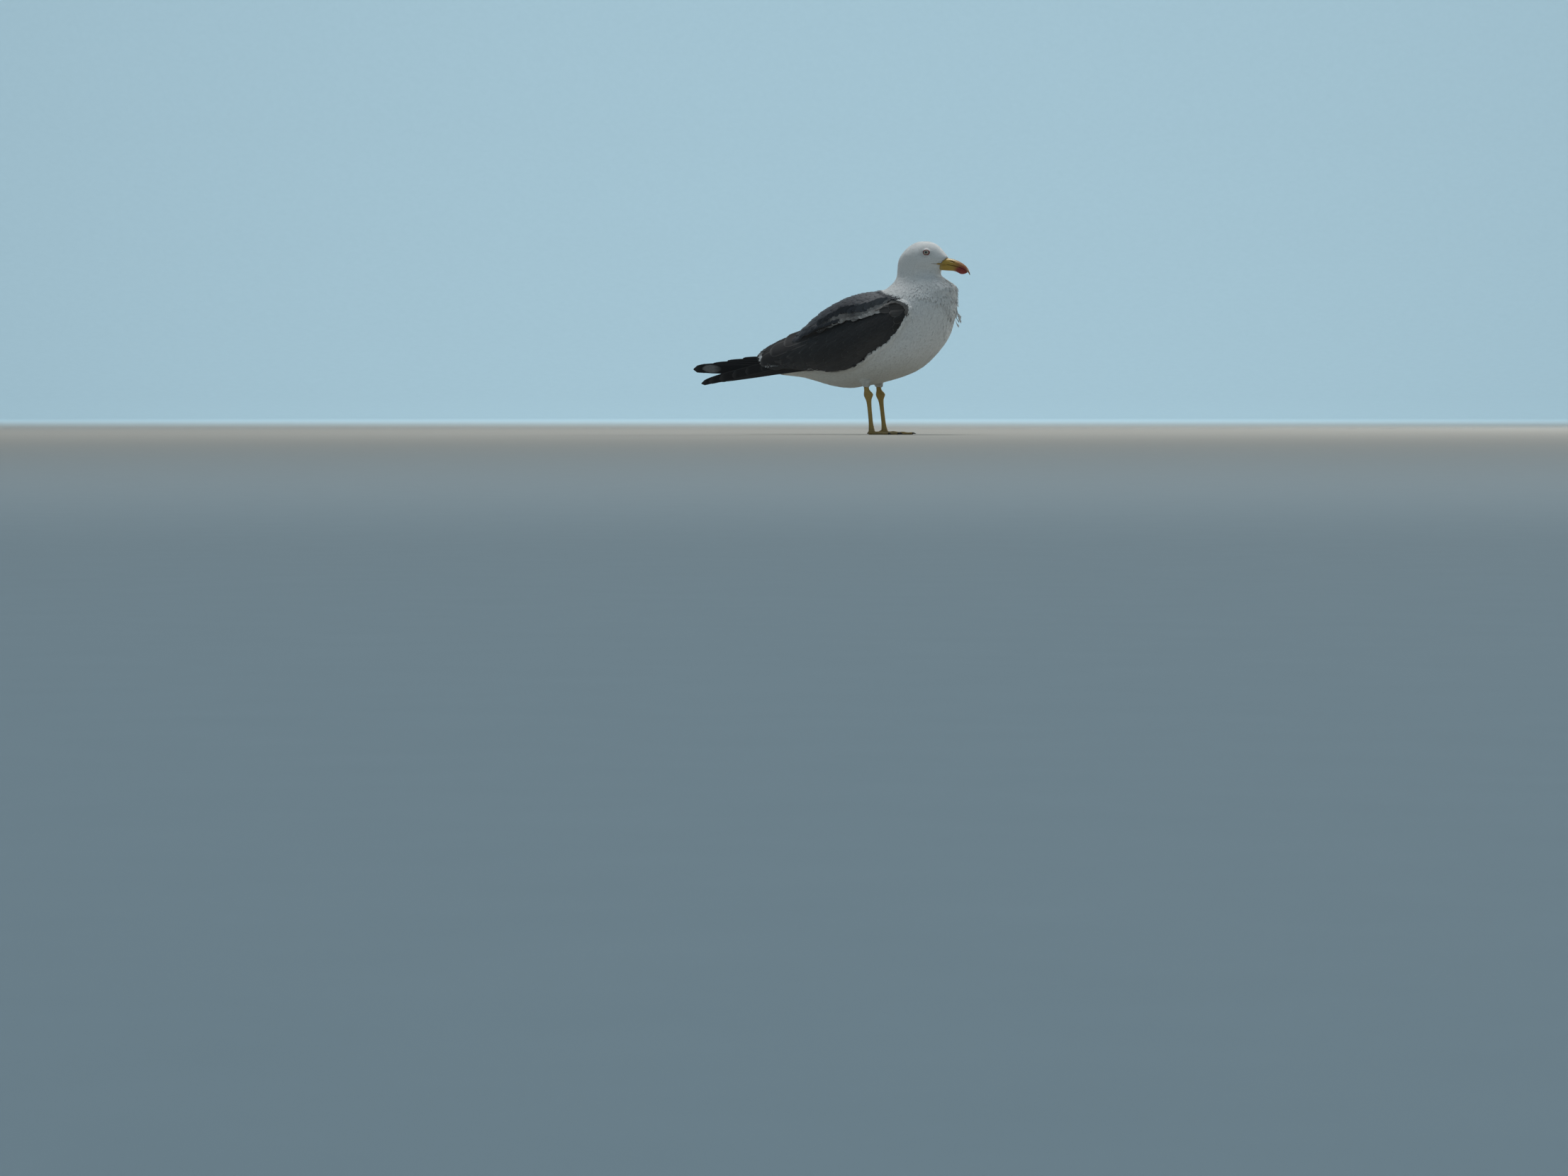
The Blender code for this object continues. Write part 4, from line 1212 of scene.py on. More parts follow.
def covert_rows():
    """Roots, lengths and widths of the coverts of one wing, in rows that grow to the rear.

    Each row is a line across the wing, staggered on the row before it.
    """
    across = np.array([WING_WAY[1], -WING_WAY[0]])
    start = np.array([90.0, 203.0])
    roots, lengths, widths = [], [], []
    distance, row = -6.0, 0
    while distance < 255:
        grown = float(ramp(10, 190, distance))
        length = blend(18.0, 58.0, grown)
        width = blend(7.0, 11.5, grown)
        pitch = width * 0.66
        count = int(150 / pitch)
        for k in range(-count, count):
            place = start + WING_WAY * distance + across * (k + 0.5 * (row % 2)) * pitch
            roots.append(place)
            lengths.append(length)
            widths.append(width)
        distance += length * 0.33
        row += 1
    return np.array(roots), np.array(lengths), np.array(widths)


def edge_ways(x):
    """The rearward run of the wing's lower edge at x."""
    here, rear = follow(WING_OUTLINE, x)[:, 1], follow(WING_OUTLINE, x - 12)[:, 1]
    return unit(np.stack([np.full(len(x), -12.0), rear - here], -1))


def build_coverts(face, material):
    roots, lengths, widths = covert_rows()
    rng = np.random.default_rng(19)
    roots = roots + rng.normal(0, 0.7, roots.shape)
    x, z = roots.T
    upper, lower = follow(WING_OUTLINE, x).T
    top = MANTLE_LINE[1] + MANTLE_LINE[2] * (x - MANTLE_LINE[0])
    inside = (z > lower + 2.5) & (z < np.minimum(top + 5, upper - 1)) & (x > REAR_END) & (x < 86)
    roots, lengths, widths = roots[inside], lengths[inside], widths[inside]
    x, z = roots.T
    gap = z - lower[inside]
    ways = unit(blend(WING_WAY, edge_ways(x), ramp(24, 5, gap)[:, None]))
    tips = roots + ways * lengths[:, None]
    short = np.maximum(follow(WING_OUTLINE, tips[:, 0])[:, 1] + 0.5 - tips[:, 1], 0)
    ways = unit(ways + np.stack([np.zeros(len(short)), short / lengths], -1) * 1.2)
    tints = blend(LOWER_COVERT, COVERT, ramp(8, 40, gap)[:, None])
    tints = blend(tints, FRONT_COVERT, ramp(40, 75, x)[:, None])
    marks = marked(0.03 + 0.10 * rng.random(len(x)))
    coat = Coat(face, 6, 10, softness=0.4)
    coat.add(side_on(x, z), side_on(*ways.T), lengths * (1 + rng.normal(0, 0.06, len(x))), widths,
             np.full(len(x), 1.6), seed=23, tints=tints, mark=marks,
             wander=0.05, fray=0.06, lift=(-0.3, 0.75), camber=0.05)
    coat.build("coverts_" + SIDE_NAMES[face.side], material, "slate_plumage")


# The scapulars' rows: rise over their lower edge, size, spacing and share of the edge's paleness.
SCAPULAR_ROWS = ((13.0, 0.8, 5.0, 0.0), (6.5, 0.9, 4.4, 0.45), (0.0, 0.9, 3.1, 1.0))
# The lower edge of the scapulars over the wing: place, height, feather length, paleness.
SCAPULAR_EDGE = (
    (50, 215.5, 13, 0.08), (38, 210, 17, 0.28), (27, 203, 24, 0.44), (10, 197.5, 30, 0.46),
    (-8, 191, 28, 0.42), (-20, 188.5, 23, 0.20), (-30, 188.5, 22, 0.30), (-45, 187.5, 24, 0.46),
    (-58, 184, 23, 0.40), (-72, 177, 20, 0.13), (-92, 167, 20, 0.045),
)


def build_scapulars(face, material):
    """The scapulars' lower rows, slate over the wing, with a ruffled pale edge."""
    rng = np.random.default_rng(71)
    coat = Coat(face, 6, 10, softness=0.6)
    for order, (rise, size, pitch, paleness) in enumerate(SCAPULAR_ROWS):
        x = np.arange(26 + 8 * order, -90, -pitch)
        x = x + rng.normal(0, 0.7, len(x))
        z, lengths, pale = follow(SCAPULAR_EDGE, x).T
        tips = side_on(x, z + rise + rng.normal(0, 1.0, len(x)))
        droop = blend(-0.55, -0.36, ramp(0, 50, x)) + rng.normal(0, 0.07, len(x))
        ways = unit(side_on(-0.9, droop))
        lengths = lengths * size * (1 + rng.normal(0, 0.10, len(x)))
        brown = pale[:, None] * np.array((1.0, 0.96, 0.93))
        tints = blend(slate_and_painted_light(tips) * 1.15, brown, paleness) * (0.75 + 0.4 * rng.random((len(x), 1)))
        coat.add(tips - ways * lengths[:, None], ways, lengths, lengths * 0.46, 1.0 + 0.8 * ramp(10, -35, x),
                 seed=90 + order, tints=tints, lift=(0.2, 4.0 - 0.6 * order), kick=0.02 * paleness, fray=0.10,
                 wander=0.06, mark=marked(0.15 + 0.35 * paleness), camber=0.03, tone=0.1)
    coat.build("scapulars_" + SIDE_NAMES[face.side], material, "slate_plumage")


# The feathers that lap over the bend of the wing: root, tip, width, height, tint.
BEND = (
    ((79, 190), (57, 172), 12, 1.2, 0.026), ((81, 197), (58, 184), 13, 1.4, 0.026),
    ((82, 203), (50, 197), 15, 1.8, 0.062), ((81, 209), (46, 209), 15, 2.3, 0.040),
    ((76, 213), (42, 217), 12, 2.8, 0.030), ((64, 209), (30, 203), 14, 2.6, 0.062),
)
BEND_MIDDLE = np.array([58.0, 200.0])
# The rim of small pale feathers round the bend: place and height, from the rear forwards.
BEND_RIM = ((25, 206.0), (33, 210.5), (43, 215.5), (54, 218.5), (64, 218.0), (73, 214.5), (79.5, 209.0),
            (82.5, 203.0), (81, 196.0))


def build_bend(face, material):
    coat = Coat(face, 6, 9, softness=0.3)
    for i, (root, tip, width, height, tint) in enumerate(BEND):
        coat.add_one(root, tip, float(width), 80 + i, (tint, tint * 0.93, tint * 0.9),
                     mark=marked(0.35), lift=(-0.8, height + 1.2), camber=0.07)
    rim = smooth_rows(BEND_RIM, 5)
    rng = np.random.default_rng(83)
    back = unit(rim - np.vstack([rim[1:], 2 * rim[-1:] - rim[-2:-1]]))
    inwards = unit(BEND_MIDDLE - rim)
    ways = unit(back + 0.45 * inwards + rng.normal(0, 0.12, rim.shape))
    roots = rim - ways * 1.5 + inwards * rng.normal(0.6, 0.5, (len(rim), 1))
    pale = (0.12 + 0.10 * rng.random(len(rim))) * blend(1.5, 1.0, ramp(40, 75, rim[:, 0]))
    lengths, widths, depths = np.tile([[8.0], [4.0], [1.0]], len(rim))
    coat.add(side_on(*roots.T), side_on(*ways.T), lengths, widths, depths, seed=89,
             tints=pale[:, None] * np.array((1.0, 0.93, 0.88)), mark=marked(0.4),
             wander=0.05, fray=0.1, lift=(1.5, 4.6), camber=0.04)
    coat.build("bend_feathers_" + SIDE_NAMES[face.side], material, "slate_plumage")


# Each tertial: root and tip from the side, width, height over the wing, paleness of its fringe.
TERTIALS = (
    ((-26, 132), (-112, 116), 17.0, 0.5, 0.15), ((-44, 136), (-138, 118), 18.0, 0.7, 0.15),
    ((-66, 142), (-168, 120.5), 19.0, 0.9, 0.2), ((-84, 150), (-196, 123.0), 25.0, 1.1, 0.2),
    ((-92, 160), (-212, 131.5), 27.0, 1.3, 0.25), ((-80, 170), (-192, 143.5), 24.0, 1.5, 0.3),
    ((-68, 179), (-164, 154.5), 23.0, 1.7, 0.3),
)

# The white margin of the tertials, from their upper corner round and forwards: place,
# height, how far it shows, way out of it.
CRESCENT = (
    (-204, 143, 0.2, (-1.0, 0.1)), (-209, 137, 0.9, (-1.0, -0.1)), (-210, 131, 2.2, (-0.97, -0.3)),
    (-207, 124, 3.8, (-0.86, -0.5)), (-201, 118.0, 4.8, (-0.72, -0.7)), (-192, 114.2, 4.2, (-0.66, -0.75)),
    (-183, 113.2, 1.5, (-0.95, -0.3)), (-172, 112.8, 0.3, (-0.99, -0.12)),
)


def build_crescent(face, material):
    """White tips that show past the dark tertials, as a ragged crescent."""
    rng = np.random.default_rng(53)
    rows = np.array([(x, z, show, *unit(way)) for x, z, show, way in CRESCENT])
    run = np.append(0, np.cumsum(np.hypot(np.diff(rows[:, 0]), np.diff(rows[:, 1]))))
    at = np.arange(0, run[-1], 1.3)
    x, z, show, fore, up = (np.interp(at, run, rows[:, k]) for k in range(5))
    lengths = np.where(show < 1.5, 8.0, 4.5 + show) + rng.normal(0, 0.4, len(at))
    ways = unit(side_on(fore, up))
    ragged = (0.35 + 1.1 * rng.random(len(at))) * (0.8 + 0.35 * np.sin(at * 0.9))
    tips = side_on(x, z) + ways * (show * ragged)[:, None]
    coat = Coat(face, 2, 5, softness=0.5)
    coat.add(tips - ways * lengths[:, None], ways, lengths, 2.2 + show * 0.6,
             np.where(show < 2, 1.9, 1.25), seed=57, shape=plume,
             tints=blend(0.10, 0.62, ramp(0.6, 3.0, show))[:, None] * np.ones(3),
             lift=(0.0, 0.9), camber=0.0, fray=0.35, wander=0.16)
    coat.build("tertial_edge_" + SIDE_NAMES[face.side], material, "white_plumage")


def tertial(t):
    """Half width of a long inner flight feather: even, with a round end."""
    return (0.55 + 0.45 * ramp(0, 0.3, t)) * np.sqrt(1 - 0.97 * np.clip((t - 0.86) / 0.14, 0, 1) ** 2)


def build_tertials(face, material):
    coat = Coat(face, 8, 18, softness=0.3)
    for i, (root, tip, width, height, fringe) in enumerate(TERTIALS):
        coat.add_one(root, tip, width, 40 + i, TERTIAL, shape=tertial, fray=0.015,
                     mark=marked(fringe), lift=(height - 1.6, height), camber=0.012)
    coat.build("tertials_" + SIDE_NAMES[face.side], material, "black_plumage")


# ---- long flight feathers ------------------------------------------------------
# A blade's section: share of its half width, share of its half thickness.
BLADE_POINTS = np.array([(-1, 0), (-0.5, 1), (0.05, 1.5), (0.6, 0.9), (1, 0), (0.6, -0.7), (0, -1),
                         (-0.5, -0.8)])


class Blades(Vanes):
    """Stiff feathers with two faces, each lofted along its own middle line."""

    def __init__(self, surface):
        super().__init__()
        self.surface = surface
        self.bm = bmesh.new()

    def add(self, middles, across, outwards, halves, thickness, tint, chance, mark=marked(0.0)):
        """One blade: its middle line, the way across it, its face's way and half widths."""
        t = np.linspace(0, 1, len(middles))[:, None]
        s, rise = BLADE_POINTS.T
        thick = thickness / 2 * (1 - 0.7 * t)
        rings = (
            middles[:, None, :]
            + np.array(across) * (halves[:, None] * s)[..., None]
            + np.array(outwards) * (thick * rise)[..., None]
        )
        absorb(self.bm, loft(rings))
        self.note(s, t, chance, tint, mark, self.surface.nearest(middles[:1])[2][0])

    def build(self, name, material, slot, *replaced):
        return self.dress(mesh_object(name, self.bm, material, crease=60), slot, *replaced)


# Folded primaries on edge: place, distance from the middle plane, top and bottom.
PRIMARIES = {
    LEFT: (
        (-80, 34, 128, 112), (-112, 32, 127, 108), (-150, 27, 131.4, 106), (-190, 20, 133.9, 104),
        (-222, 13.5, 134.0, 102.5), (-256, 11.5, 130.0, 101.5), (-285, 10, 125.4, 101.2),
        (-311, 7.5, 120.6, 102), (-333, 5, 117.0, 103.6), (-343, 3.6, 114.6, 105.0),
    ),
    RIGHT: (
        (-80, 35, 126, 111), (-112, 34, 125, 106), (-145, 29.5, 125.4, 102.5), (-180, 23, 122.9, 98.8),
        (-210, 17, 118.9, 95.2), (-234, 15.5, 113.9, 92.4), (-259, 15, 107.5, 89.4),
        (-283, 15.5, 101.1, 87.2), (-304, 16, 95.0, 84.0), (-319, 16.5, 89.8, 81.6),
    ),
}
PRIMARY_TIPS = {LEFT: (-343, -332, -313, -287, -258, -226), RIGHT: (-319, -305, -285, -261, -236, -206)}
PRIMARY_WIDTH = 15.5


def build_primaries(surface, side, material):
    """The folded primaries: the outermost lowest and innermost, each shorter one over it."""
    table, tips = PRIMARIES[side], PRIMARY_TIPS[side]
    blades = Blades(surface)
    ranks = np.column_stack([tips[::-1], np.arange(len(tips))[::-1]])
    ranks[0, 1] = len(tips) - 1
    for rank, tip in enumerate(tips):
        t = np.linspace(0, 1, 34) ** 0.85
        x = -86 + (tip + 86) * t
        y, top, bottom = follow(table, x).T
        full = np.minimum(PRIMARY_WIDTH, top - bottom)
        share = np.minimum(rank / np.maximum(follow(ranks, x)[:, 0], 0.6), 1.0)
        middle = bottom + full / 2 + (top - bottom - full) * share
        left = np.abs(tip - x)
        middles = side_on(x, middle - 0.8 * ramp(24, 0, left), side * (y + (rank - 2.5) * 0.5))
        mirror = 1.0 if (rank == 0 and side == LEFT) else 0.0
        blades.add(middles, (0.0, 0.0, 1.0), (0.0, side, 0.0), full / 2 * round_end(left, 9.0, 2.4), 0.9,
                   PRIMARY, 0.13 * rank + 0.05, marked(0.12, mirror))
    name = SIDE_NAMES[side]
    blades.build("primaries_" + name + "_feathers", material, "black_plumage", "primaries_" + name)


# The top of the closed tail: place, height.
TAIL_LINE = ((-120, 117), (-140, 115.2), (-165, 112.3), (-195, 105.6), (-225, 98.8), (-246, 95.8),
             (-253, 94.6))


def build_tail(surface, material):
    """Twelve white tail feathers, closed, the middle pair on top."""
    blades = Blades(surface)
    t = np.linspace(0, 1, 22)
    for pair in range(6):
        for side in (RIGHT, LEFT):
            rank = pair + 0.5
            x = -124 + (-247.5 + pair * 0.8 + 124) * t
            y = side * (0.8 + rank * (0.7 + 0.75 * t))
            z = follow(TAIL_LINE, x)[:, 0] - 0.38 * rank - 1.2 * (np.abs(y) / 20) ** 2
            lean = 0.16 * rank / 5.5
            blades.add(side_on(x, z, y), unit((0.0, 1.0, -side * lean)), unit((0.0, side * lean, 1.0)),
                       (5.2 + 0.8 * t) * round_end((1 - t) * 127, 11.0), 0.8, TAIL_WHITE,
                       0.07 * pair + 0.4 * (side > 0))
    blades.build("tail_feathers", material, "white_plumage", "tail")


# Rows of white feathers over the root of the tail: first and last place, rise over it there.
RUMP = ((-152, -212, 11.0, 5.0), (-137, -198, 17.0, 11.0), (-121, -182, 22.0, 17.0), (-106, -167, 27.0, 21.5))


def build_rump(surface, material):
    """The white coverts over the root of the tail, seen between the folded wings."""
    blades = Blades(surface)
    t = np.linspace(0, 1, 16)
    for row, (start, end, rise, last) in enumerate(RUMP):
        for column in (-3, 3, -2, 2, -1, 1, 0):
            x = start + (end - start) * t + 2.5 * abs(column)
            y = (column + 0.3 * (row % 2)) * 4.6 * (0.7 + 0.35 * t)
            z = follow(TAIL_LINE, x)[:, 0] + rise + (last - rise) * t + 2.0 * np.sin(math.pi * t)
            z = z - 0.9 * abs(column) ** 1.5
            lean = 0.16 * column
            blades.add(side_on(x, z, y), unit((0.0, 1.0, -lean)), unit((0.0, lean, 1.0)),
                       5.4 * round_end((1 - t) * 55, 9.0, cut=0.95), 0.7, RUMP_WHITE,
                       0.11 * row + 0.2 * abs(column))
    blades.build("rump_feathers", material, "white_plumage")


# Innermost flight feathers, that roof the rump: root, tip, half width, lean from flat.
ROOF = (
    ((-84, 5, 177.0), (-170, 2.5, 147.0), 11.0, 0.15),
    ((-90, 12, 174.0), (-197, 5.0, 133.5), 12.0, 0.35),
    ((-96, 22, 168.5), (-212, 9.5, 125.0), 12.5, 0.6),
)


def build_roof(surface, side, material):
    """The inner tertials, laid over the rump like tiles from the middle outwards."""
    blades = Blades(surface)
    t = np.linspace(0, 1, 24)
    for k, (root, tip, half, lean) in enumerate(ROOF):
        root, tip = np.array(root) * (1, side, 1), np.array(tip) * (1, side, 1)
        middles = root + (tip - root) * t[:, None]
        middles[:, 2] += 3.0 * np.sin(math.pi * t)
        cos, sin = math.cos(lean), math.sin(lean)
        end = round_end((1 - t) * np.linalg.norm(tip - root), 12.0)
        blades.add(middles, (0.0, cos, -side * sin), (0.0, side * sin, cos),
                   half * (0.7 + 0.3 * ramp(0, 0.4, t)) * end, 0.9,
                   INNER_TERTIAL, 0.2 * k + 0.1, marked(0.3))
    blades.build("tertials_inner_" + SIDE_NAMES[side], material, "black_plumage")


# ---- bill ----------------------------------------------------------------------
# Upper mandible: place, ridge, mouth line, half width. Lower: place, mouth line, keel, half width.
UPPER_BILL = (
    (106.0, 287.2, 281.3, 8.7), (118.0, 289.3, 280.8, 8.2), (129.0, 289.8, 280.0, 7.2),
    (139.0, 288.0, 278.4, 6.4), (148.0, 284.9, 276.2, 5.7), (155.5, 280.8, 273.6, 5.0),
    (161.0, 276.6, 270.6, 4.1), (165.0, 271.8, 267.2, 3.0), (167.4, 267.2, 263.8, 1.7),
    (168.2, 264.2, 262.2, 0.7),
)
LOWER_BILL = (
    (106.0, 280.9, 271.2, 8.0), (118.0, 280.4, 270.4, 7.5), (129.0, 279.6, 269.6, 6.6),
    (139.0, 278.0, 268.8, 5.8), (146.0, 276.2, 266.6, 5.3), (151.5, 274.6, 263.9, 4.8),
    (156.5, 272.6, 263.6, 3.9), (160.5, 270.4, 264.6, 2.6), (163.2, 268.6, 265.8, 1.0),
)


def build_upper_bill(material):
    """The upper mandible: a rounded ridge, a furrow, a nostril slit and an edge that folds in."""
    side, rise = circle(72)
    up = np.maximum(rise, 0)
    rings = []
    for x, ridge, mouth, half in smooth_rows(UPPER_BILL, 10):
        z = mouth + (ridge - mouth) * up ** (2 / 2.35) + np.minimum(rise, 0) * 0.5
        y = half * np.where(rise >= 0, signed_power(side, 2 / 1.95), signed_power(side, 0.7) * 0.93)
        furrow = np.exp(-(((up - 0.22) / 0.12) ** 2)) * 0.22 * ramp(166, 150, x)
        y = y - np.sign(y) * furrow
        past = x - NOSTRIL[0]
        slot = math.exp(-((past / 4.4) ** 4)) * np.exp(-(((up - 0.50 + past * 0.01) / 0.075) ** 2))
        rings.append(side_on(x, z, y - np.sign(y) * slot * 1.9))
    dressed(mesh_object("upper_mandible", loft(rings), material), "bill_horn", "bill_upper")


def build_lower_bill(material):
    """The lower mandible: a keel with its angle near the tip."""
    side, rise = circle(36)
    down = np.maximum(-rise, 0)
    rings = []
    for x, mouth, keel, half in smooth_rows(LOWER_BILL, 5):
        edge = mouth - 0.55
        z = edge - (edge - keel) * down ** (2 / 2.15) + np.maximum(rise, 0) * 0.35
        y = half * signed_power(side, np.where(rise > 0, 0.7, 2 / 2.05)) * np.where(rise > 0, 0.95, 1)
        rings.append(side_on(x, z, y))
    dressed(mesh_object("lower_mandible", loft(rings), material), "bill_horn", "bill_lower")


# The corner of the mouth: place, half width over the middle, height, radius.
GAPE_LINE = ((131, 6.2, 279.7, 0.2), (127, 7.0, 279.9, 0.55), (124, 7.7, 280.1, 0.8),
             (121, 9.0, 280.3, 0.95), (118, 11.2, 280.5, 0.9), (115, 13.2, 280.7, 0.7),
             (112, 14.9, 280.9, 0.5), (108, 17.0, 281.1, 0.38), (102.0, 19.4, 281.3, 0.16))


def build_gape(surface, horn, material):
    """The corner of the mouth: two yellow lips that run back into a dark crease, whose dark colour is painted
    shade.
    """
    rows = smooth_rows(GAPE_LINE, 4)
    c, s = circle(10)
    up = np.array([0, 0, 1.0])
    strands = (("lip_upper_", 0.85, horn, 112.5, 132), ("lip_lower_", -0.85, horn, 112.5, 132),
               ("gape_", 0.0, material, 100, 126))
    for side in (RIGHT, LEFT):
        line = rows[:, :3] * (1, side, 1)
        at, normals, _ = surface.nearest(line)
        lifted = at + normals * (0.6 * coat_depth(at))[:, None]
        middle = blend(lifted, line, ramp(112, 120, rows[:, 0])[:, None])
        for name, rise, finish, start, end in strands:
            rings = []
            for centre, normal, (x, _, _, radius) in zip(middle, normals, rows):
                if not start <= x <= end:
                    continue
                lips = float(ramp(112, 116, x))
                heart = centre + up * (rise * radius * lips) + normal * 0.12 * (rise == 0)
                reach = radius * (0.75 if rise else blend(1.0, 0.4, lips))
                rings.append(heart + normal * (reach * 0.75 * c)[:, None] + up * (reach * s)[:, None])
            dressed(mesh_object(name + SIDE_NAMES[side], loft(rings), finish, crease=80), "bill_horn")


# ---- eyes ----------------------------------------------------------------------
def build_eyeball(side, material):
    """The eyeball, with its cornea raised and every point's place in the iris."""
    centre, out, fore, up = eye_frame(side)
    bm = bmesh.new()
    bmesh.ops.create_uvsphere(bm, u_segments=64, v_segments=56, radius=1.0)
    turned = np.array([v.co for v in bm.verts])
    angle = np.arccos(np.clip(turned[:, 2], -1, 1))
    radius = EYEBALL_RADIUS + 0.35 * ramp(0.8, 0.1, angle)
    turns = turned[:, :1] * fore + turned[:, 1:2] * up + turned[:, 2:] * out
    move_verts(bm, world(centre + turns * radius[:, None]))
    bmesh.ops.recalc_face_normals(bm, faces=bm.faces)
    name = SIDE_NAMES[side]
    eyeball = mesh_object("eyeball_" + name, bm, material, crease=None)
    spin = np.arctan2(turned[:, 1], turned[:, 0])
    set_attributes(eyeball.data, look=np.column_stack([angle, np.cos(spin), np.sin(spin)]))
    dressed(eyeball, "eye", "eye_" + name)


# The lids' profile: height above the eyeball and reach from its middle, as a share.
LID_PROFILE = ((-0.35, 0.77), (0.12, 0.785), (0.40, 0.82), (0.55, 0.87), (0.54, 0.93),
               (0.38, 0.98), (0.15, 1.03), (-0.2, 1.07), (-0.9, 1.05), (-1.2, 0.95), (-0.9, 0.82))


def build_lids(side, material):
    """The fleshy ring round the eye, pointed at its corners."""
    centre, out, fore, up = eye_frame(side)
    profile = smooth_rows(LID_PROFILE + LID_PROFILE[:1], 2)

    def shape(a, b):
        c, s = np.cos(a * 2 * math.pi), np.sin(a * 2 * math.pi)
        stations = np.arange(len(profile))
        rise, reach = (np.interp(b * stations[-1], stations, column) for column in profile.T)
        across = EYE_RING[0] * signed_power(c, 1.10) * reach
        tall = EYE_RING[1] * signed_power(s, 1.10) * np.where(s > 0, 0.95, 1.0) * reach + 0.2 * c
        depth = np.sqrt(np.maximum((EYE_RADIUS + rise) ** 2 - across**2 - tall**2, 1.0))
        return centre + across[:, None] * fore + tall[:, None] * up + depth[:, None] * out

    lids = mesh_object("lids_" + SIDE_NAMES[side], wrapped(72, 22, shape), material, crease=80)
    dressed(lids, "eye")


# ---- legs and feet -------------------------------------------------------------
# Left shank: place, y, height, half depth and half width, with the ankle's forward knob.
SHANK = (
    (-8.0, 24.2, 82.0, 4.2, 3.4), (-8.0, 24.2, 77.5, 4.3, 3.5), (-7.2, 24.0, 73.5, 4.7, 3.8),
    (-5.8, 23.8, 69.5, 6.4, 4.8), (-4.9, 23.6, 66.0, 7.2, 5.3), (-4.3, 23.4, 62.0, 6.3, 4.7),
    (-3.7, 23.2, 57.0, 4.7, 3.6), (-2.6, 22.9, 48.0, 3.9, 2.9), (-1.5, 22.6, 39.0, 3.7, 2.7),
    (-0.6, 22.3, 32.0, 3.7, 2.7), (0.8, 21.9, 20.0, 3.8, 2.8), (1.8, 21.6, 12.5, 4.6, 3.5),
    (2.4, 21.5, 8.4, 5.2, 4.2), (3.0, 21.5, 4.5, 5.4, 4.6),
)
ANKLE_HEIGHT = 66.0
STEPS = {RIGHT: -2.5, LEFT: 1.5}  # how far each foot stands ahead of its ankle's own line
FOOT_CENTRE = np.array([3.0, 21.5, 0.0])
FOOT_TURN = 4.0
# Each front toe: heading in degrees, length, half width, height.
TOES = ((-25.0, 36.0, 3.0, 5.4), (0.0, 49.0, 3.2, 5.8), (23.0, 45.0, 3.0, 5.4))
TOE_TAPER = 0.6
WEB_REACH, WEB_HOLLOW = 0.93, 0.2
HIND_ROOT, HIND_TIP = np.array([(-3.4, -3.0, 6.2), (-10.5, -6.0, 2.4)])
HIND_RADIUS = 1.9
# The pad where the toes meet: height, share of its radii.
PAD = ((0.0, 0.9), (0.5, 1.0), (3.0, 1.06), (5.5, 1.0), (7.6, 0.86), (8.3, 0.6))


def leg_place(points, side):
    """Points of the left leg put under either leg, its foot set ahead or back by its step."""
    points = np.array(points, float)
    share = np.maximum(0.0, 1 - points[..., 2] / ANKLE_HEIGHT)
    points[..., 0] += STEPS[side] * share
    return points * (1, side, 1)


def foot_place(points, side):
    """Points about the foot's own centre, put under either leg."""
    x, y, z = np.moveaxis(np.array(points, float), -1, 0)
    c, s = math.cos(math.radians(FOOT_TURN)), math.sin(math.radians(FOOT_TURN))
    return leg_place(np.stack([x * c - y * s, x * s + y * c, z], -1) + FOOT_CENTRE, side)


def heading_ways(heading):
    """The ways along and across a toe that points to a heading, in degrees."""
    angle = math.radians(heading)
    c, s = math.cos(angle), math.sin(angle)
    return np.array([c, s, 0.0]), np.array([-s, c, 0.0])


def shank_rings():
    """The shank, with the ankle's knob ahead, the calf behind and the sinew's ridge down the back."""
    c, s = circle(28)
    ahead, behind = np.maximum(c, 0), np.maximum(-c, 0)
    rings = []
    for x, y, z, deep, wide in smooth_rows(SHANK, 5):
        knob = math.exp(-(((z - 67.0) / 4.5) ** 2)) * 1.6
        calf = math.exp(-(((z - 62.0) / 6.0) ** 2)) * 0.9
        reach = deep + knob * ahead**3 + calf * behind**3
        narrow = 1 - 0.16 * behind**2 * float(ramp(60, 40, z))
        rings.append(side_on(x + reach * c, z, y + wide * s * narrow))
    return rings


def toe_rings(heading, length, half, height):
    """A toe with a pad under each joint and a flat sole."""
    c, s = circle(20)
    fore, side = heading_ways(heading)
    rise = np.maximum(0.5 + np.where(s > 0, 0.5, 0.8) * s, 0.0)
    rings = []
    for t in np.linspace(0, 1, 30):
        taper = 1 - (1 - TOE_TAPER) * t
        swelling = 1 + 0.10 * math.cos(2 * math.pi * 3 * t)
        rings.append(
            fore * (length * t)
            + side * (half * taper * swelling * signed_power(c, 2 / 2.3))[:, None]
            + np.array([0, 0, 1.0]) * (height * taper * swelling * rise)[:, None]
        )
    return rings


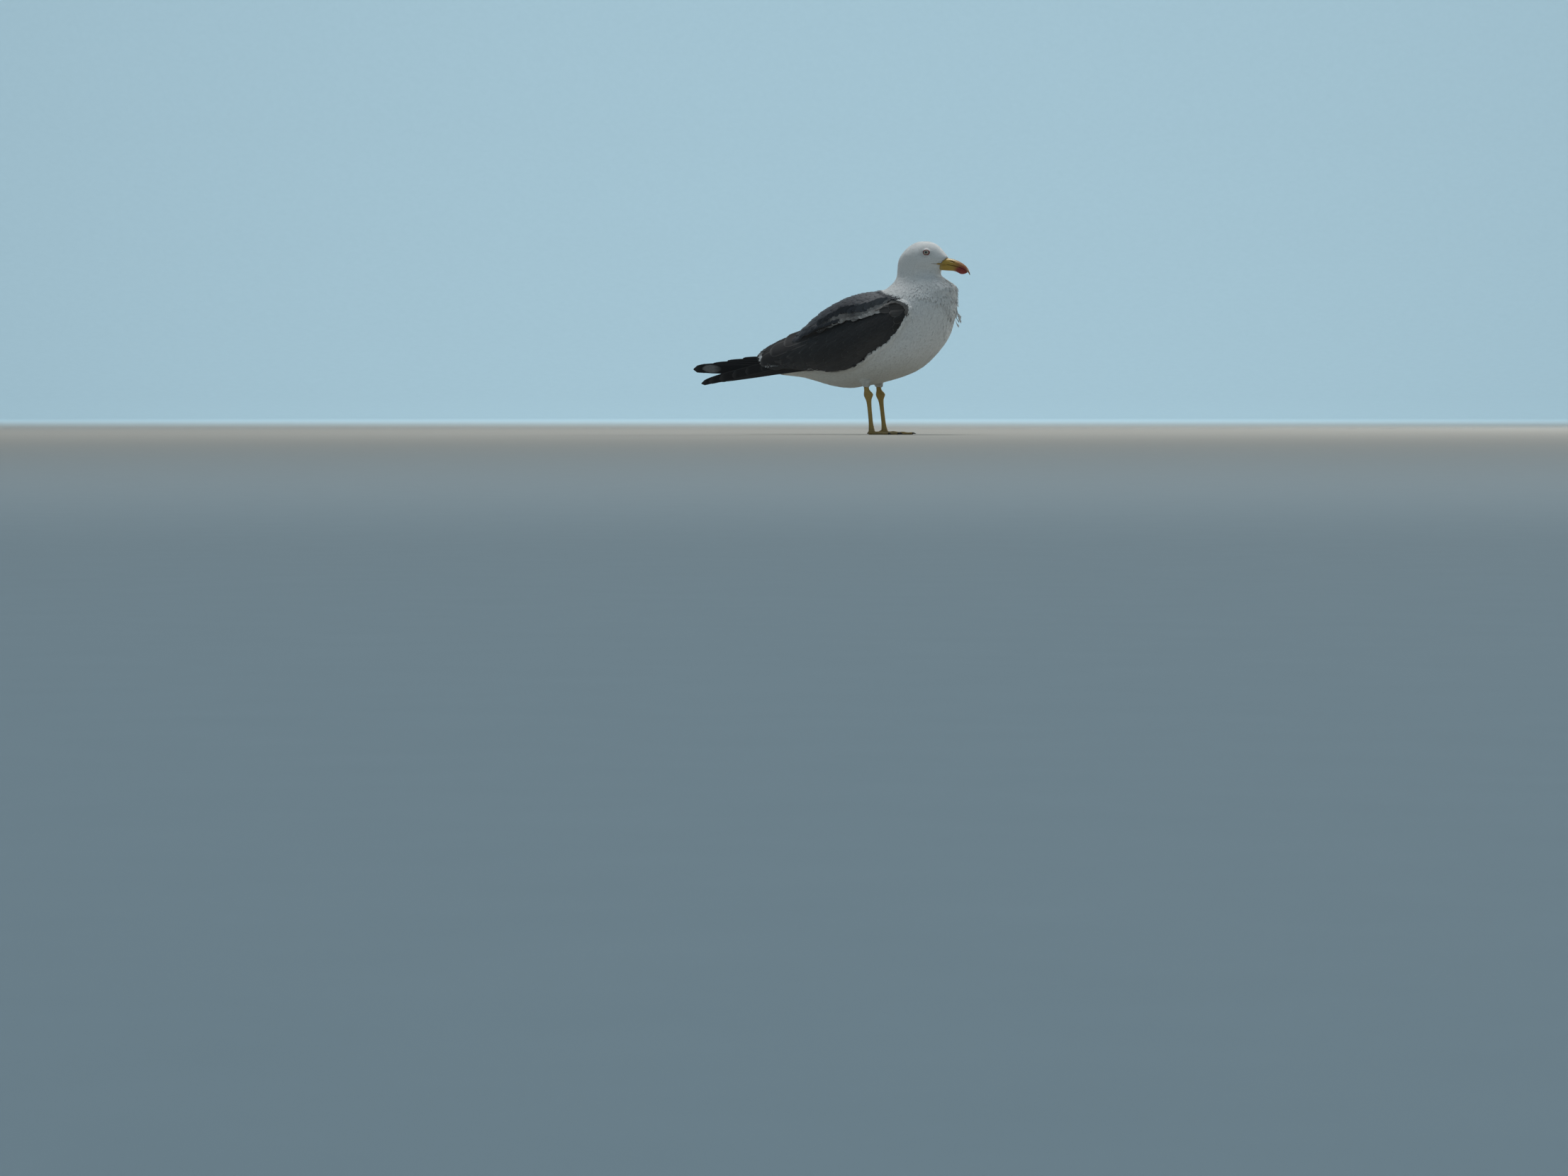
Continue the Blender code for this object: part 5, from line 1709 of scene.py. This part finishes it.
def web_between(first, second):
    """The web between two toes: thin, sagging and wrinkled, its edge curving back."""
    bm = bmesh.new()
    bmesh.ops.create_grid(bm, x_segments=16, y_segments=12, size=1.0)
    bmesh.ops.solidify(bm, geom=list(bm.verts) + list(bm.edges) + list(bm.faces), thickness=0.02)
    points = np.array([v.co for v in bm.verts])
    share, out = (points[:, 0] + 1) / 2, (points[:, 1] + 1) / 2
    heading = np.radians(first[0] + (second[0] - first[0]) * share)
    sag = np.sin(math.pi * share)
    reach = (first[1] + (second[1] - first[1]) * share) * WEB_REACH
    reach = reach * (1 - WEB_HOLLOW * sag)
    distance = 2.0 + (reach - 2.0) * out
    fold = 0.35 * np.sin(share * 22 + out * 3) * sag * out
    over = np.where(points[:, 2] > np.median(points[:, 2]), 1.0, 0.0)
    z = 0.35 + over * 0.9 + 1.1 * (1 - sag) * (1 - 0.4 * out) + fold * 0.5 + 0.2
    move_verts(bm, side_on(distance * np.cos(heading), z, distance * np.sin(heading)))
    return bm


def pad_rings():
    c, s = circle(24)
    return [side_on(5.8 * share * c, lift, 4.9 * share * s) for lift, share in PAD]


def hind_rings():
    """The hind toe, down and back to the floor."""
    along = unit(HIND_TIP - HIND_ROOT)
    across = unit(np.cross(along, (0, 0, 1.0)))
    c, s = circle(16)
    ring = across * c[:, None] + np.cross(across, along) * s[:, None]
    rings = []
    for t in np.linspace(0, 1, 8):
        radius = HIND_RADIUS * (1 - 0.35 * t) * (1 + 0.08 * math.sin(t * 9))
        rings.append(HIND_ROOT + (HIND_TIP - HIND_ROOT) * t + radius * ring)
    return rings


def claw_rings(root, heading, pitch, length, half_height, half_width):
    """A claw that curves down to its point."""
    fore, across = heading_ways(heading)
    c, s = circle(14)
    centre = np.array(root, float)
    rings = []
    stations = 12
    for i in range(stations + 1):
        t = i / stations
        slope = math.radians(pitch - 42.0 * t)
        along = fore * math.cos(slope) + np.array([0, 0, math.sin(slope)])
        up = np.cross(along, across)
        up = up if up[2] > 0 else -up
        taper = max(0.10, (1 - t) ** 0.7)
        rings.append(
            centre
            + across * (half_width * taper * c)[:, None]
            + up * (half_height * taper * s)[:, None]
        )
        centre = centre + along * length / stations
    return rings


def build_leg(side, skin_material, claw_material):
    """The shank, the webbed foot with its hind toe and the four claws of one leg."""
    name = SIDE_NAMES[side]
    shank = mesh_object("shank_skin_" + name, loft(leg_place(shank_rings(), side)), skin_material)
    dressed(shank, "leg_skin", "shank_" + name)
    pieces = [loft(foot_place(rings, side)) for rings in (*(toe_rings(*toe) for toe in TOES), pad_rings())]
    for first, second in zip(TOES, TOES[1:]):
        web = web_between(first, second)
        move_verts(web, world(foot_place([v.co for v in web.verts], side)))
        pieces.append(web)
    pieces.append(loft(foot_place(hind_rings(), side)))
    foot = mesh_object("foot_skin_" + name, merged(pieces), skin_material, crease=60)
    dressed(foot, "leg_skin", "foot_" + name, "hallux_" + name)
    claws = []
    for heading, length, _, height in TOES:
        root = heading_ways(heading)[0] * (length - 1.0) + (0, 0, height * TOE_TAPER * 0.55)
        claws.append(claw_rings(root, heading, 12.0, 7.9, 1.75, 1.35))
    along = unit(HIND_TIP - HIND_ROOT)
    hind_heading = math.degrees(math.atan2(along[1], along[0]))
    claws.append(claw_rings(HIND_TIP - along * 0.4, hind_heading, -20.0, 4.0, 1.1, 0.9))
    nails = merged(loft(foot_place(rings, side)) for rings in claws)
    nails = mesh_object("claws_" + name, nails, claw_material)
    toes = ("inner", "middle", "outer", "hallux")
    dressed(nails, "claw_horn", *("claw_" + toe + "_" + name for toe in toes))


# ---- studio --------------------------------------------------------------------
VIEW_TURN = 25.0  # degrees that the camera stands ahead of square-on to the right side
VIEW_DISTANCE = 8.0
VIEW_HEIGHT = 0.05
FRAME_WIDTH = 2.602  # metres across the view at the bird
FEET_RIGHT, FEET_UP = 0.1541, 0.2549  # where the feet stand from the view's middle
SENSOR = 36.0
COVE_RADIUS, COVE_HEIGHT, COVE_BEND = 13.0, 9.0, 4.0  # metres, as are the lights' places


def aimed(data, place, target):
    """A camera or light at a place, turned to its target, both in metres."""
    obj = linked(data.name, data)
    obj.location = place
    obj.rotation_euler = (Vector(target) - Vector(place)).to_track_quat("-Z", "Y").to_euler()
    return obj


def build_camera():
    turn = math.radians(VIEW_TURN)
    back = Vector((math.sin(turn), -math.cos(turn), 0.0))
    right = Vector((math.cos(turn), math.sin(turn), 0.0))
    feet = Vector(world((0.0, 0.0, 0.0)))
    data = bpy.data.cameras.new("camera")
    data.sensor_width = SENSOR
    data.lens = SENSOR * VIEW_DISTANCE / FRAME_WIDTH
    data.clip_end = 60.0
    place = feet + back * VIEW_DISTANCE + Vector((0.0, 0.0, VIEW_HEIGHT))
    bpy.context.scene.camera = aimed(data, place, feet - right * FEET_RIGHT - Vector((0.0, 0.0, FEET_UP)))


def build_stage():
    """A pale floor that curves up into a wall all round, darkened to warm grey round the bird as painted
    shade.
    """
    f = Finish("studio_paper")
    vector, x, y, _ = f.place()
    grain = f.noise(vector, 40.0, 3.0)
    colour = f.mix(grain, (0.49, 0.60, 0.645), (0.52, 0.63, 0.675))
    # Painted shade: warm grey on the floor near the bird, fading to the pale blue-grey by 8.5 m, holding down
    # the key light's pool there.
    ground = f.mix(grain, (0.34, 0.33, 0.30), (0.38, 0.37, 0.34))
    far = (x * x + y * y) ** 0.5
    colour = f.mix(far.step(1.0, 8.5), ground, colour)
    material = f.set(Base_Color=colour, Roughness=0.9, Specular_IOR_Level=0.1)
    bm = bmesh.new()
    outline = [(0.02, 0.0), (COVE_RADIUS - COVE_BEND, 0.0)]
    for i in range(1, 9):
        turn = math.radians(90 * i / 8)
        outline.append((COVE_RADIUS - COVE_BEND * (1 - math.sin(turn)), COVE_BEND * (1 - math.cos(turn))))
    outline.append((COVE_RADIUS, COVE_HEIGHT))
    verts = [bm.verts.new((x, 0.0, z)) for x, z in outline]
    edges = [bm.edges.new(pair) for pair in zip(verts, verts[1:])]
    bmesh.ops.spin(bm, geom=verts + edges, cent=(0, 0, 0), axis=(0, 0, 1),
                   angle=2 * math.pi, steps=96, use_merge=True)
    rim = [e for e in bm.edges if e.is_boundary and e.verts[0].co.length < 0.1]
    bmesh.ops.holes_fill(bm, edges=rim, sides=0)
    bmesh.ops.remove_doubles(bm, verts=bm.verts, dist=1e-5)
    for face in bm.faces:
        face.normal_update()
        middle = face.calc_center_median()
        if face.normal.dot(Vector((0, 0, 3.0)) - middle) < 0:
            face.normal_flip()
    mesh_object("floor", bm, material, crease=None)


def add_light(name, place, target, size, power, colour):
    data = bpy.data.lights.new(name, "AREA")
    data.shape = "DISK"
    data.size = size
    data.energy = power
    data.color = colour
    aimed(data, place, target)


def build_lights():
    world_light = bpy.data.worlds.new("studio")
    world_light.use_nodes = True
    background = world_light.node_tree.nodes["Background"]
    background.inputs["Color"].default_value = (0.74, 0.88, 0.99, 1.0)
    background.inputs["Strength"].default_value = 0.37
    bpy.context.scene.world = world_light
    add_light("key", (-0.6, 0.9, 4.4), (0.0, 0.0, 0.15), 1.6, 125.0, (1.0, 0.98, 0.95))
    add_light("fill", (2.6, -4.6, 2.4), (0.0, 0.0, 0.15), 3.0, 10.0, (0.92, 0.96, 1.0))
    add_light("rim", (1.5, 2.8, 1.5), (0.05, 0.0, 0.2), 0.9, 26.0, (1.0, 0.98, 0.95))
    add_light("wall", (-1.7, 3.6, 6.0), (-5.5, 11.8, 3.0), 3.0, 490.0, (0.86, 1.0, 1.06))


# ---- the bird ------------------------------------------------------------------
def main():
    scene = bpy.context.scene
    scene.view_settings.view_transform = "Standard"
    build_camera()
    build_stage()
    build_lights()
    skin = build_skin(skin_finish())
    surface = Surface(skin)
    white = plumage_finish("white_feather")
    build_white_coat(surface, white)
    build_ruffles(surface, white)
    slate = wing_finish("slate_feather")
    build_back(surface, slate)
    build_tail(surface, slate)
    build_rump(surface, white)
    horn, flesh, claws = horn_finish(), leg_finish(), claw_finish()
    eyes, rings, gape = eye_finish(), lid_finish(), gape_shade_finish()
    build_upper_bill(horn)
    build_lower_bill(horn)
    build_gape(surface, horn, gape)
    for side in (RIGHT, LEFT):
        face = WingFace(surface, side)
        build_coverts(face, slate)
        build_tertials(face, slate)
        build_crescent(face, white)
        build_bend(face, slate)
        build_scapulars(face, slate)
        build_primaries(surface, side, slate)
        build_roof(surface, side, slate)
        build_eyeball(side, eyes)
        build_lids(side, rings)
        build_leg(side, flesh, claws)


main()
